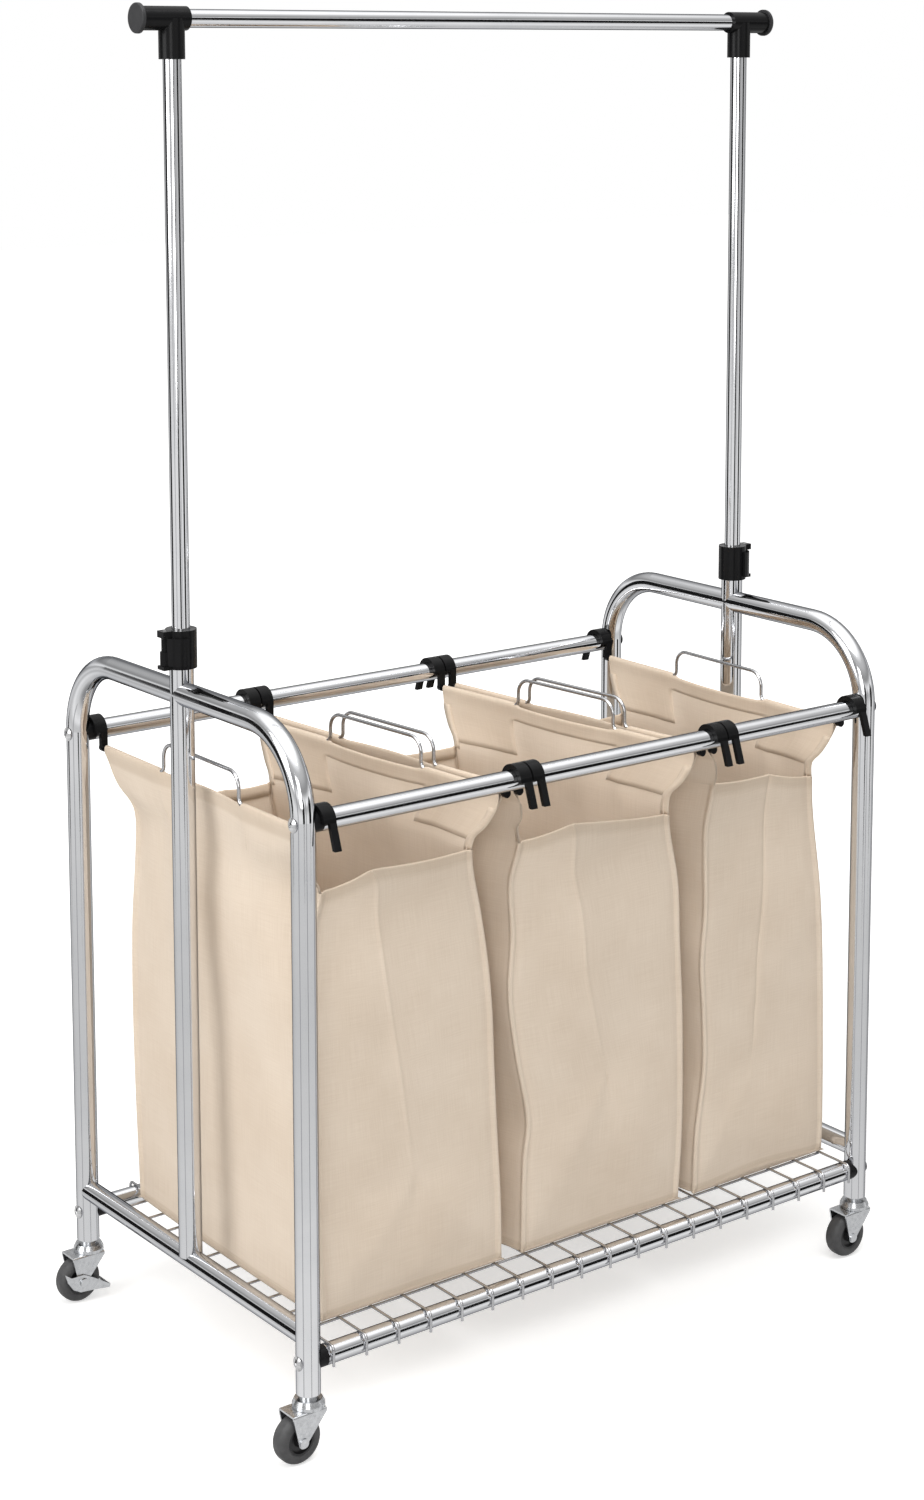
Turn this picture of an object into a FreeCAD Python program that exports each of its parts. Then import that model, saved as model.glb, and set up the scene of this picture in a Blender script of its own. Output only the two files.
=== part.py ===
"""Three-bag laundry sorter on wheels, with a height-adjustable hanging bar.

Frame: origin on the floor under the middle of the frame, +X along the length,
+Y to the rear, +Z up. Millimetres.
"""
import FreeCAD
import Part
import math
import os

Vec = FreeCAD.Vector
X_AXIS = Vec(1, 0, 0)
Y_AXIS = Vec(0, 1, 0)
Z_AXIS = Vec(0, 0, 1)

# ---- Driving dimensions: frame ----
LEG_X = 390.0               # middle of the frame to an end frame's tube axes
LEG_Y = 225.0               # middle of the frame to a leg's axis
TUBE_R = 12.7               # one-inch frame tube
TUBE_WALL = 1.2
END_BEND_R = 85.0           # bend at the top of a leg, to the tube's axis
TOP_TUBE_RISE = 88.0        # upper rail's axis to the top tube's axis
RAIL_R = 11.0
RAIL_WALL = 1.2
LOWER_RAIL_RISE = 34.0      # leg's foot to the lower rail's axis
RAIL_SPACING = 559.0        # lower rail's axis to the upper rail's
RAIL_END_GAP = 19.0         # leg's axis to the rail's end
CROSS_TUBE_RISE = 25.0      # lower rail's axis to the end cross tube's axis
POST_RISE = 57.0            # top tube's axis to the post's top
POST_LAP = 4.0              # cross tube's axis to the post's lower edge

# ---- Driving dimensions: rail fixings ----
SPIGOT_LENGTH = 22.0
BOLT_R = 3.0
BOLT_HEAD_R = 7.75
BOLT_HEAD_HEIGHT = 3.0
HEX_KEY = 4.0
HEX_KEY_DEPTH = 1.8
NUT_FLATS = 10.0
NUT_HEIGHT = 5.0
NUT_INSET = 2.0             # spigot's end face to the nut

# ---- Driving dimensions: wire shelf ----
WIRE_R = 1.5
CROSS_WIRES = 19
CROSS_WIRE_PITCH = 40.8
LONG_WIRES = 10
LONG_WIRE_PITCH = 41.0
WIRE_BEND_R = 5.0
WIRE_HOOK_RISE = 2.0        # rail's underside up to the end of a cross wire
LONG_WIRE_INSET = 20.0      # leg's axis to the end of a long wire

# ---- Driving dimensions: sliding rack ----
RACK_TUBE_R = 9.5
RACK_TUBE_WALL = 1.0
RACK_LAP = 148.0            # length of rack tube inside the post
BAR_RISE = 640.0            # post's top to the hanging bar's axis
TEE_WALL = 2.8
TEE_INBOARD = 17.0
TEE_OUTBOARD = 38.0
SOCKET_R = 13.5
SOCKET_DROP = 41.0
TEE_WEB = 3.0               # between the bar's bore and the rack tube's top
BAR_END_INSET = 8.0
CAP_R = 15.5
CAP_THICKNESS = 4.0
CAP_ROUND_R = 1.3
GUIDE_BUSH_LENGTH = 20.0

# ---- Driving dimensions: clamp ----
COLLAR_WALL = 3.8
COLLAR_BELOW = 29.0         # post's top down to the collar's foot
COLLAR_ABOVE = 12.0         # post's top up to the collar's rim
COLLAR_LIP = 2.0
EAR_BEYOND_PIN = 5.0        # lever pin's axis to an ear's outer end
EAR_HALF_WIDTH = 6.5
BOTTOM_EAR = 4.0
TOP_EAR = 7.0
LEVER_PIN_R = 1.5
LEVER_PIN_GAP = 7.3         # post's side to the lever pin's axis
LEVER_HUB_R = 5.0
LEVER_NECK_R = 3.5
LEVER_HUB_HEIGHT = 14.7
LEVER_GAP = 0.7
LEVER_THICKNESS = 3.5
LEVER_SWEEP = (-12.0, -84.0)    # degrees round the post, from the hinge side

# ---- Driving dimensions: bags, rods and hooks ----
ROD_R = 2.0
ROD_BELOW_RAIL = 18.0
HANDLE_HALF = 77.0
HANDLE_RISE = 33.5
HANDLE_TOP_R = 17.0
HANDLE_FOOT_R = 8.0
HOOK_THICKNESS = 5.7
HOOK_WIDTH = 15.0
HOOK_LEG_WIDTH = 8.0
HOOK_LEG_OFFSET = 3.5
HOOK_BOSS_R = 4.5
HOOK_TAIL_THICKNESS = 5.0
HOOK_TAIL_DROP = 27.0
HOOK_TAIL_LEAN = 9.0
ROD_END_DEPTH = 3.0         # rod's end inside the hook's leg
END_HOOK_GAP = 0.8          # leg's side to the end hook
HOOK_PAIR_PITCH = 17.0
FRONT_PAIRS = (-113.5, 162.0)   # middle of each pair of neighbouring hooks
REAR_PAIRS = (-156.5, 110.5)
BAG_WALL = 2.0
HEM_R = 3.6
HEM_END_GAP = 1.0
MOUTH_DROP = 70.0           # rods down to the front and rear panels' top edges
# drop below the rods, and how far the bag's end edge stands in from the leg's axis
BAG_PROFILE = ((20.0, 22.5), (40.0, 35.0), (55.0, 53.0), (109.0, 58.0), (215.0, 47.0))
BAG_FOOT_INSET = 37.0
# how far each bag's left and right foot edges stand from its rods, towards +X
BAG_FOOT_SHIFT = ((24.0, 16.0), (15.0, -10.0), (-2.0, 3.0))

# ---- Driving dimensions: casters ----
WHEEL_R = 25.4
TYRE_HALF_WIDTH = 10.0
TYRE_SHOULDER_R = 7.0
TYRE_SHOULDER_STEPS = 6
TYRE_BEAD = 1.0
HUB_R = 15.0
HUB_HALF_WIDTH = 9.0
HUB_BOSS_R = 6.0
HUB_BOSS_HALF = 11.6
HUB_RIM = 2.0
HUB_DISH = 3.0
HUB_SLOPE = 1.0
AXLE_R = 3.0
AXLE_HEAD_R = 5.0
AXLE_HEAD = 1.4
TRAIL = 15.0
WHEEL_GAP = 3.2
FORK_SHEET = 2.0
FORK_INSIDE = 12.0
FORK_BACK = 27.0
FORK_FRONT = 13.0
FORK_TIP_R = 6.0
FORK_BEND_R = 1.8
RACE_R = 17.0
RACE_HEIGHT = 8.7
RACE_SKIRT = 3.5
RACE_TOP_R = 14.5
NECK_R = 9.0
NECK_HEIGHT = 5.0
KINGPIN_R = 3.5
KINGPIN_HEAD_R = 6.5
KINGPIN_HEAD = 1.4
STEM_R = 5.0
STEM_LENGTH = 22.0
INSERT_LENGTH = 25.0
BRAKE_SHEET = 1.6
BRAKE_HUB_R = 8.0
BRAKE_PAD_HALF = 12.0
# the lever's leaf and its foot pad from the side: distance behind the axle, and above it
BRAKE_LEAF = (
    (-23.5, 15.0), (-16.0, 9.5), (0.0, 9.5), (12.0, 3.0), (WHEEL_R + 8.6, -11.0),
    (WHEEL_R + 7.1, -14.5), (10.5, -11.5), (-4.7, -10.2), (-14.0, -5.0), (-21.0, 5.0),
)
BRAKE_PAD = (
    (WHEEL_R + 2.6, -7.2), (WHEEL_R + 8.6, -11.0), (WHEEL_R + 8.0, -12.4), (WHEEL_R + 2.2, -8.8),
)

# ---- Clearances ----
FIT = 0.05                  # between pieces that are pressed or screwed together
RUNNING = 0.06              # radial, on pins and bores that turn
GUIDE_RUNNING = 0.08        # radial, guide bush in the post
REST_GAP = 0.3              # between pieces of different bodies that rest on each other
BOLT_HOLE_GAP = 0.2

# ---- Heights and places that follow ----
FORK_PLATE_Z = 2 * WHEEL_R + WHEEL_GAP
RACE_Z = FORK_PLATE_Z + FORK_SHEET + REST_GAP
NECK_Z = RACE_Z + RACE_HEIGHT
FOOT_Z = NECK_Z + NECK_HEIGHT
LOWER_RAIL_Z = FOOT_Z + LOWER_RAIL_RISE
UPPER_RAIL_Z = LOWER_RAIL_Z + RAIL_SPACING
TOP_TUBE_Z = UPPER_RAIL_Z + TOP_TUBE_RISE
CROSS_TUBE_Z = LOWER_RAIL_Z + CROSS_TUBE_RISE
POST_TOP_Z = TOP_TUBE_Z + POST_RISE
BAR_Z = POST_TOP_Z + BAR_RISE
SHELF_Z = LOWER_RAIL_Z + RAIL_R + 2 * WIRE_R
ROD_Z = UPPER_RAIL_Z - ROD_BELOW_RAIL
RAIL_END_X = LEG_X - RAIL_END_GAP
END_HOOK_X = LEG_X - TUBE_R - END_HOOK_GAP - HOOK_WIDTH / 2
HOOK_INNER_R = RAIL_R + REST_GAP
HOOK_OUTER_R = HOOK_INNER_R + HOOK_THICKNESS
HOOK_INSIDE_Y = LEG_Y - HOOK_OUTER_R
POST_BORE_R = TUBE_R - TUBE_WALL
COLLAR_R = TUBE_R + COLLAR_WALL
LEVER_PIN_OFFSET = TUBE_R + LEVER_PIN_GAP
EAR_REACH = LEVER_PIN_OFFSET + EAR_BEYOND_PIN

SIDES = (("left", -1), ("right", 1))
ENDS = (("front", -1), ("rear", 1))
BAG_NAMES = ("left", "middle", "right")


def save(name, shapes):
    """Write one node: a single solid, or a group of separate solids."""
    shape = shapes if isinstance(shapes, Part.Shape) else Part.makeCompound(shapes)
    shape.exportStep("parts/" + name + ".step")


def cylinder(radius, start, end):
    axis = end - start
    return Part.makeCylinder(radius, axis.Length, start, axis)


def box(x_range, y_range, z_range):
    low = Vec(x_range[0], y_range[0], z_range[0])
    return Part.makeBox(x_range[1] - x_range[0], y_range[1] - y_range[0], z_range[1] - z_range[0], low)


def ring(outer_r, inner_r, start, end):
    return cylinder(outer_r, start, end).cut(cylinder(inner_r, start, end))


def turned(points, centre):
    """Solid of revolution about a vertical axis through centre, from (radius, z) points."""
    corners = [Vec(radius, 0, z) for radius, z in points]
    face = Part.Face(Part.makePolygon(corners + corners[:1]))
    solid = face.revolve(Vec(0, 0, 0), Z_AXIS, 360)
    solid.translate(Vec(centre.x, centre.y, 0))
    return solid


def prism(points, depth):
    """Extrude a closed outline by the vector depth."""
    return Part.Face(Part.makePolygon(points + points[:1])).extrude(depth)


def hexagon(across_flats, start, depth):
    """Hexagonal prism whose axis runs along X from start."""
    reach = across_flats / math.sqrt(3)
    angles = [math.radians(60 * i) for i in range(6)]
    corners = [start + Vec(0, reach * math.cos(a), reach * math.sin(a)) for a in angles]
    return prism(corners, Vec(depth, 0, 0))


def bent_path(points, radii):
    """Straight runs joined by tangent arcs; radii holds one radius for each inner point."""
    edges = []
    here = points[0]
    for i, radius in enumerate(radii, start=1):
        corner = points[i]
        back = (points[i - 1] - corner).normalize()
        ahead = (points[i + 1] - corner).normalize()
        half_angle = back.getAngle(ahead) / 2
        reach = radius / math.tan(half_angle)
        start = corner + back * reach
        end = corner + ahead * reach
        centre = corner + (back + ahead).normalize() * (radius / math.sin(half_angle))
        middle = centre + (corner - centre).normalize() * radius
        edges.append(Part.LineSegment(here, start).toShape())
        edges.append(Part.Arc(start, middle, end).toShape())
        here = end
    edges.append(Part.LineSegment(here, points[-1]).toShape())
    return Part.Wire(edges)


def pipe(points, radii, radius):
    """Round bar along a bent path."""
    profile = Part.Wire(Part.makeCircle(radius, points[0], points[1] - points[0]))
    return bent_path(points, radii).makePipeShell([profile], True, False)


def mirrored(shape, side):
    """The right-hand shape, mirrored to the left where side is -1."""
    return shape if side > 0 else shape.mirror(Vec(0, 0, 0), X_AXIS)


# ---- End frames ----
def leg_bar(side, end, radius):
    """Solid bar along a leg, its top bend and half of the top tube."""
    x = side * LEG_X
    foot = Vec(x, end * LEG_Y, FOOT_Z)
    top = Vec(x, end * LEG_Y, TOP_TUBE_Z)
    middle = Vec(x, 0, TOP_TUBE_Z)
    return pipe([foot, top, middle], [END_BEND_R], radius)


def leg(side, end):
    """Leg, top bend and half of the top tube, coped to the post."""
    x = side * LEG_X
    post = cylinder(TUBE_R, Vec(x, 0, CROSS_TUBE_Z), Vec(x, 0, POST_TOP_Z))
    solid = leg_bar(side, end, TUBE_R).cut(leg_bar(side, end, TUBE_R - TUBE_WALL)).cut(post)
    for z in (LOWER_RAIL_Z, UPPER_RAIL_Z):
        reach = Vec(2 * TUBE_R, 0, 0)
        axis_point = Vec(x, end * LEG_Y, z)
        solid = solid.cut(cylinder(BOLT_R + BOLT_HOLE_GAP, axis_point - reach, axis_point + reach))
    return solid


def post(side):
    x = side * LEG_X
    solid = ring(TUBE_R, POST_BORE_R, Vec(x, 0, CROSS_TUBE_Z + POST_LAP), Vec(x, 0, POST_TOP_Z))
    return solid.cut(cylinder(RAIL_R, Vec(x, -LEG_Y, CROSS_TUBE_Z), Vec(x, LEG_Y, CROSS_TUBE_Z)))


def cross_tube(side):
    """Bottom tube of an end frame, coped between its two legs."""
    x = side * LEG_X
    solid = ring(RAIL_R, RAIL_R - RAIL_WALL, Vec(x, -LEG_Y, CROSS_TUBE_Z), Vec(x, LEG_Y, CROSS_TUBE_Z))
    for _, end in ENDS:
        solid = solid.cut(cylinder(TUBE_R, Vec(x, end * LEG_Y, FOOT_Z), Vec(x, end * LEG_Y, UPPER_RAIL_Z)))
    return solid


# ---- Rails and their fixings ----
def rail(end, z):
    y = end * LEG_Y
    return ring(RAIL_R, RAIL_R - RAIL_WALL, Vec(-RAIL_END_X, y, z), Vec(RAIL_END_X, y, z))


def rail_ends():
    """The eight places where a rail meets a leg."""
    return [(side, end, z) for z in (LOWER_RAIL_Z, UPPER_RAIL_Z) for _, end in ENDS for _, side in SIDES]


def nut_start_x():
    return RAIL_END_X - SPIGOT_LENGTH + NUT_INSET


def spacer(side, end, z):
    """Collar between a rail and a leg, with a spigot in the rail that traps a nut."""
    y = end * LEG_Y
    body = cylinder(RAIL_R, Vec(RAIL_END_X, y, z), Vec(LEG_X, y, z))
    body = body.cut(leg_bar(1, end, TUBE_R + FIT))
    spigot_r = RAIL_R - RAIL_WALL - FIT
    body = body.fuse(cylinder(spigot_r, Vec(RAIL_END_X - SPIGOT_LENGTH, y, z), Vec(RAIL_END_X, y, z)))
    body = body.cut(cylinder(BOLT_R + FIT, Vec(nut_start_x() - NUT_INSET, y, z), Vec(LEG_X, y, z)))
    pocket_depth = NUT_INSET + NUT_HEIGHT + FIT
    pocket_start = Vec(RAIL_END_X - SPIGOT_LENGTH, y, z)
    body = body.cut(hexagon(NUT_FLATS + 2 * FIT, pocket_start, pocket_depth))
    return mirrored(body.removeSplitter(), side)


def bolt(side, end, z):
    """Dome-head bolt through a leg, into the nut inside the rail."""
    y = end * LEG_Y
    under_head = LEG_X + TUBE_R + FIT
    dome_r = (BOLT_HEAD_R ** 2 + BOLT_HEAD_HEIGHT ** 2) / (2 * BOLT_HEAD_HEIGHT)
    dome_centre = Vec(under_head + BOLT_HEAD_HEIGHT - dome_r, y, z)
    slab = cylinder(BOLT_HEAD_R, Vec(under_head, y, z), Vec(under_head + BOLT_HEAD_HEIGHT, y, z))
    head = Part.makeSphere(dome_r, dome_centre).common(slab)
    socket_start = Vec(under_head + BOLT_HEAD_HEIGHT - HEX_KEY_DEPTH, y, z)
    head = head.cut(hexagon(HEX_KEY, socket_start, HEX_KEY_DEPTH + 1))
    shank = cylinder(BOLT_R, Vec(nut_start_x(), y, z), Vec(under_head, y, z))
    return mirrored(head.fuse(shank).removeSplitter(), side)


def nut(side, end, z):
    y = end * LEG_Y
    start = Vec(nut_start_x(), y, z)
    solid = hexagon(NUT_FLATS, start, NUT_HEIGHT)
    return mirrored(solid.cut(cylinder(BOLT_R + FIT, start, start + Vec(NUT_HEIGHT, 0, 0))), side)


# ---- Wire shelf ----
def wire_shelf():
    wires = []
    wire_z = SHELF_Z - WIRE_R
    reach_y = LEG_Y + RAIL_R + WIRE_R
    hook_z = LOWER_RAIL_Z - RAIL_R + WIRE_HOOK_RISE
    for i in range(CROSS_WIRES):
        x = (i - (CROSS_WIRES - 1) / 2) * CROSS_WIRE_PITCH
        points = [Vec(x, -reach_y, hook_z), Vec(x, -reach_y, wire_z)]
        points += [Vec(x, reach_y, wire_z), Vec(x, reach_y, hook_z)]
        wires.append(pipe(points, [WIRE_BEND_R, WIRE_BEND_R], WIRE_R))
    long_z = wire_z - 2 * WIRE_R
    long_x = LEG_X - LONG_WIRE_INSET
    for i in range(LONG_WIRES):
        y = (i - (LONG_WIRES - 1) / 2) * LONG_WIRE_PITCH
        wires.append(cylinder(WIRE_R, Vec(-long_x, y, long_z), Vec(long_x, y, long_z)))
    return wires


# ---- Clamp collars on the posts ----
COLLAR_Z = POST_TOP_Z - COLLAR_BELOW
COLLAR_TOP_Z = POST_TOP_Z + COLLAR_ABOVE


def clamp_collar(side):
    """Collar with two ears that hold the lever's pin, and a pocket for its hub."""
    foot = Vec(LEG_X, 0, COLLAR_Z)
    rim = Vec(LEG_X, 0, COLLAR_TOP_Z)
    ears = (-EAR_HALF_WIDTH, EAR_HALF_WIDTH)
    reach = (LEG_X, LEG_X + EAR_REACH)
    solid = cylinder(COLLAR_R, foot, rim)
    solid = solid.fuse(box(reach, ears, (COLLAR_Z, COLLAR_Z + BOTTOM_EAR)))
    solid = solid.fuse(box(reach, ears, (COLLAR_TOP_Z - TOP_EAR, COLLAR_TOP_Z)))
    pin_x = LEG_X + LEVER_PIN_OFFSET
    pocket_r = LEVER_HUB_R + REST_GAP
    pocket_foot = Vec(pin_x, 0, COLLAR_Z + BOTTOM_EAR)
    solid = solid.cut(cylinder(pocket_r, pocket_foot, Vec(pin_x, 0, COLLAR_TOP_Z - TOP_EAR)))
    solid = solid.cut(cylinder(LEVER_PIN_R + FIT, Vec(pin_x, 0, COLLAR_Z), Vec(pin_x, 0, COLLAR_TOP_Z)))
    lip_foot = Vec(LEG_X, 0, COLLAR_TOP_Z - COLLAR_LIP)
    solid = solid.cut(cylinder(TUBE_R + FIT, foot, lip_foot))
    solid = solid.cut(cylinder(RACK_TUBE_R + REST_GAP, foot, rim))
    return mirrored(solid.removeSplitter(), side)


def collar_bush(side):
    """Ring on the post's top that the rack tube slides through."""
    x = side * LEG_X
    return ring(TUBE_R, RACK_TUBE_R + RUNNING, Vec(x, 0, POST_TOP_Z), Vec(x, 0, COLLAR_TOP_Z - COLLAR_LIP))


def lever_pin(side):
    x = side * (LEG_X + LEVER_PIN_OFFSET)
    return cylinder(LEVER_PIN_R, Vec(x, 0, COLLAR_Z), Vec(x, 0, COLLAR_TOP_Z))


def clamp_lever(side):
    """Finger lever: a hub on the pin and a curved plate that lies round the collar."""
    foot_z = COLLAR_Z + BOTTOM_EAR + REST_GAP
    top_z = COLLAR_TOP_Z - TOP_EAR - REST_GAP
    pin_x = LEG_X + LEVER_PIN_OFFSET
    neck_z = foot_z + LEVER_HUB_HEIGHT
    solid = cylinder(LEVER_HUB_R, Vec(pin_x, 0, foot_z), Vec(pin_x, 0, neck_z))
    solid = solid.fuse(cylinder(LEVER_NECK_R, Vec(pin_x, 0, neck_z), Vec(pin_x, 0, top_z)))
    inner_r = COLLAR_R + LEVER_GAP
    outer_r = inner_r + LEVER_THICKNESS
    plate = ring(outer_r, inner_r, Vec(LEG_X, 0, foot_z), Vec(LEG_X, 0, top_z))
    sector = [Vec(LEG_X, 0, foot_z)]
    for angle in LEVER_SWEEP:
        direction = Vec(math.cos(math.radians(angle)), math.sin(math.radians(angle)), 0)
        sector.append(sector[0] + direction * (3 * outer_r))
    plate = plate.common(prism(sector, Vec(0, 0, top_z - foot_z)))
    solid = solid.fuse(plate)
    solid = solid.cut(cylinder(LEVER_PIN_R + RUNNING, Vec(pin_x, 0, foot_z), Vec(pin_x, 0, top_z)))
    return mirrored(solid.removeSplitter(), side)


# ---- Sliding rack ----
BAR_BORE_R = RACK_TUBE_R + FIT
RACK_TUBE_TOP_Z = BAR_Z - BAR_BORE_R - TEE_WEB


def rack_tube(side):
    x = side * LEG_X
    foot = Vec(x, 0, POST_TOP_Z - RACK_LAP)
    return ring(RACK_TUBE_R, RACK_TUBE_R - RACK_TUBE_WALL, foot, Vec(x, 0, RACK_TUBE_TOP_Z))


def guide_bush(side):
    """Ring on a rack tube's foot that keeps it in the middle of the post."""
    foot = Vec(side * LEG_X, 0, POST_TOP_Z - RACK_LAP)
    return ring(POST_BORE_R - GUIDE_RUNNING, RACK_TUBE_R + FIT, foot, foot + Vec(0, 0, GUIDE_BUSH_LENGTH))


def rack_tee(side):
    """Moulded tee: a barrel for the hanging bar and a socket for the rack tube."""
    inboard = Vec(LEG_X - TEE_INBOARD, 0, BAR_Z)
    outboard = Vec(LEG_X + TEE_OUTBOARD, 0, BAR_Z)
    socket_foot = Vec(LEG_X, 0, BAR_Z - SOCKET_DROP)
    solid = cylinder(BAR_BORE_R + TEE_WALL, inboard, outboard)
    solid = solid.fuse(cylinder(SOCKET_R, socket_foot, Vec(LEG_X, 0, BAR_Z)))
    solid = solid.cut(cylinder(BAR_BORE_R, inboard, outboard))
    solid = solid.cut(cylinder(BAR_BORE_R, socket_foot, Vec(LEG_X, 0, RACK_TUBE_TOP_Z + FIT)))
    return mirrored(solid.removeSplitter(), side)


BAR_END_X = LEG_X + TEE_OUTBOARD - BAR_END_INSET


def hanging_bar():
    left = Vec(-BAR_END_X, 0, BAR_Z)
    right = Vec(BAR_END_X, 0, BAR_Z)
    return ring(RACK_TUBE_R, RACK_TUBE_R - RACK_TUBE_WALL, left, right)


def bar_end_cap(side):
    """Round cap pressed into the tee's outboard end."""
    face_x = LEG_X + TEE_OUTBOARD + FIT
    rim = Vec(face_x + CAP_THICKNESS, 0, BAR_Z)
    disc = cylinder(CAP_R, Vec(face_x, 0, BAR_Z), rim)
    outer_edges = [e for e in disc.Edges if e.BoundBox.XMin > face_x + CAP_THICKNESS / 2]
    disc = disc.makeFillet(CAP_ROUND_R, outer_edges)
    plug = cylinder(RACK_TUBE_R, Vec(BAR_END_X + FIT, 0, BAR_Z), Vec(face_x, 0, BAR_Z))
    return mirrored(disc.fuse(plug), side)


# ---- Bags ----
def hook_x(bag, edge, end):
    """Middle of a hook on a rail: edge -1 is the bag's left one, +1 its right one."""
    pairs = FRONT_PAIRS if end < 0 else REAR_PAIRS
    place = bag + (edge + 1) // 2
    if place == 0:
        return -END_HOOK_X
    if place == len(BAG_NAMES):
        return END_HOOK_X
    return pairs[place - 1] - edge * HOOK_PAIR_PITCH / 2


def rod_x(bag, edge, y):
    """The rod's place along X, on the line between its two hooks' bosses."""
    reach = HOOK_INSIDE_Y + ROD_END_DEPTH
    front = hook_x(bag, edge, -1) - HOOK_LEG_OFFSET
    rear = hook_x(bag, edge, 1) + HOOK_LEG_OFFSET
    return front + (rear - front) * (y + reach) / (2 * reach)


def rod_points(bag, edge):
    reach = HOOK_INSIDE_Y + ROD_END_DEPTH
    top_z = ROD_Z + HANDLE_RISE
    places = [(-reach, ROD_Z), (-HANDLE_HALF, ROD_Z), (-HANDLE_HALF, top_z)]
    places += [(HANDLE_HALF, top_z), (HANDLE_HALF, ROD_Z), (reach, ROD_Z)]
    return [Vec(rod_x(bag, edge, y), y, z) for y, z in places]


def rod(bag, edge, radius):
    bends = [HANDLE_FOOT_R, HANDLE_TOP_R, HANDLE_TOP_R, HANDLE_FOOT_R]
    return pipe(rod_points(bag, edge), bends, radius)


def hook(bag, edge, end):
    """Saddle over the rail, a leg inside that holds the rod's end, and a tail outside."""
    half_width = HOOK_WIDTH / 2
    arch = ring(HOOK_OUTER_R, HOOK_INNER_R, Vec(-half_width, 0, 0), Vec(half_width, 0, 0))
    arch = arch.common(box((-half_width, half_width), (-HOOK_OUTER_R, HOOK_OUTER_R), (0, HOOK_OUTER_R)))
    leg_x = (-HOOK_LEG_OFFSET - HOOK_LEG_WIDTH / 2, -HOOK_LEG_OFFSET + HOOK_LEG_WIDTH / 2)
    inner_leg = box(leg_x, (HOOK_INNER_R, HOOK_OUTER_R), (-ROD_BELOW_RAIL, 0))
    boss_foot = Vec(-HOOK_LEG_OFFSET, HOOK_INNER_R, -ROD_BELOW_RAIL)
    inner_leg = inner_leg.fuse(cylinder(HOOK_BOSS_R, boss_foot, boss_foot + Vec(0, HOOK_THICKNESS, 0)))
    tail_start = Vec(HOOK_LEG_OFFSET - HOOK_LEG_WIDTH / 2, 0, 0)
    outside = -HOOK_OUTER_R
    inside = outside + HOOK_TAIL_THICKNESS
    tip = -HOOK_TAIL_DROP
    outline = [(outside, 0), (inside, 0), (inside - HOOK_TAIL_LEAN, tip), (outside - HOOK_TAIL_LEAN, tip)]
    tail = prism([tail_start + Vec(0, y, z) for y, z in outline], Vec(HOOK_LEG_WIDTH, 0, 0))
    solid = arch.fuse(inner_leg).fuse(tail).removeSplitter()
    if end > 0:
        solid.rotate(Vec(0, 0, 0), Z_AXIS, 180)
    solid.translate(Vec(hook_x(bag, edge, end), end * LEG_Y, UPPER_RAIL_Z))
    return solid.cut(rod(bag, edge, ROD_R + FIT))


def bag_sections():
    """(height, half depth) pairs from the bag's foot to its hems."""
    hem_depth = HOOK_INSIDE_Y - HEM_END_GAP
    sections = [(SHELF_Z + REST_GAP, LEG_Y - BAG_FOOT_INSET)]
    for drop, inset in reversed(BAG_PROFILE):
        sections.append((ROD_Z - drop, LEG_Y - inset))
    sections.append((ROD_Z + HEM_R, hem_depth))
    return sections


def side_x(bag, edge, y, z):
    """A side panel's middle surface: straight from the rod down to the foot's edge."""
    foot_z = SHELF_Z + REST_GAP
    share = min(1.0, (ROD_Z - z) / (ROD_Z - foot_z))
    shift = BAG_FOOT_SHIFT[bag][0 if edge < 0 else 1]
    return rod_x(bag, edge, y) + shift * max(0.0, share)


def bag_loft(bag, inset, sections):
    """Ruled loft through four-cornered sections, drawn in from the panels' middle."""
    wires = []
    for z, depth in sections:
        y = depth - inset
        corners = []
        for edge, end in ((-1, -1), (1, -1), (1, 1), (-1, 1)):
            corners.append(Vec(side_x(bag, edge, end * y, z) - edge * inset, end * y, z))
        wires.append(Part.makePolygon(corners + corners[:1]))
    return Part.makeLoft(wires, True, True)


def laundry_bag(bag):
    """Open bag: floor, four panels, and a hem round each rod."""
    sections = bag_sections()
    outside = bag_loft(bag, -BAG_WALL / 2, sections)
    floor_z = sections[0][0] + BAG_WALL
    above = sections[-1][0] + 1
    inner = [(floor_z, sections[0][1])] + sections[1:-1] + [(above, sections[-1][1])]
    solid = outside.cut(bag_loft(bag, BAG_WALL / 2, inner))
    mouth_z = ROD_Z - MOUTH_DROP
    mouth = [(mouth_z, LEG_Y), (above, LEG_Y)]
    solid = solid.cut(bag_loft(bag, BAG_WALL / 2, mouth))
    hem_start = HANDLE_HALF + HANDLE_FOOT_R
    hem_end = HOOK_INSIDE_Y - HEM_END_GAP
    for edge in (-1, 1):
        for _, end in ENDS:
            near = Vec(rod_x(bag, edge, end * hem_start), end * hem_start, ROD_Z)
            far = Vec(rod_x(bag, edge, end * hem_end), end * hem_end, ROD_Z)
            solid = solid.fuse(cylinder(HEM_R, near, far))
        solid = solid.cut(rod(bag, edge, ROD_R + REST_GAP))
    return solid


# ---- Casters ----
def caster_stem(side, end):
    """Stem, neck, race cover and kingpin: the part of a caster that stays with the leg."""
    plate_top = FORK_PLATE_Z + FORK_SHEET
    head_top = FORK_PLATE_Z - REST_GAP
    outline = [(0, head_top - KINGPIN_HEAD), (KINGPIN_HEAD_R, head_top - KINGPIN_HEAD)]
    outline += [(KINGPIN_HEAD_R, head_top), (KINGPIN_R, head_top), (KINGPIN_R, RACE_Z)]
    outline += [(RACE_R, plate_top + REST_GAP), (RACE_R, RACE_Z + RACE_SKIRT)]
    outline += [(RACE_TOP_R, NECK_Z), (NECK_R, NECK_Z), (NECK_R, FOOT_Z)]
    outline += [(STEM_R, FOOT_Z), (STEM_R, FOOT_Z + STEM_LENGTH), (0, FOOT_Z + STEM_LENGTH)]
    return turned(outline, Vec(side * LEG_X, end * LEG_Y, 0))


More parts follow.
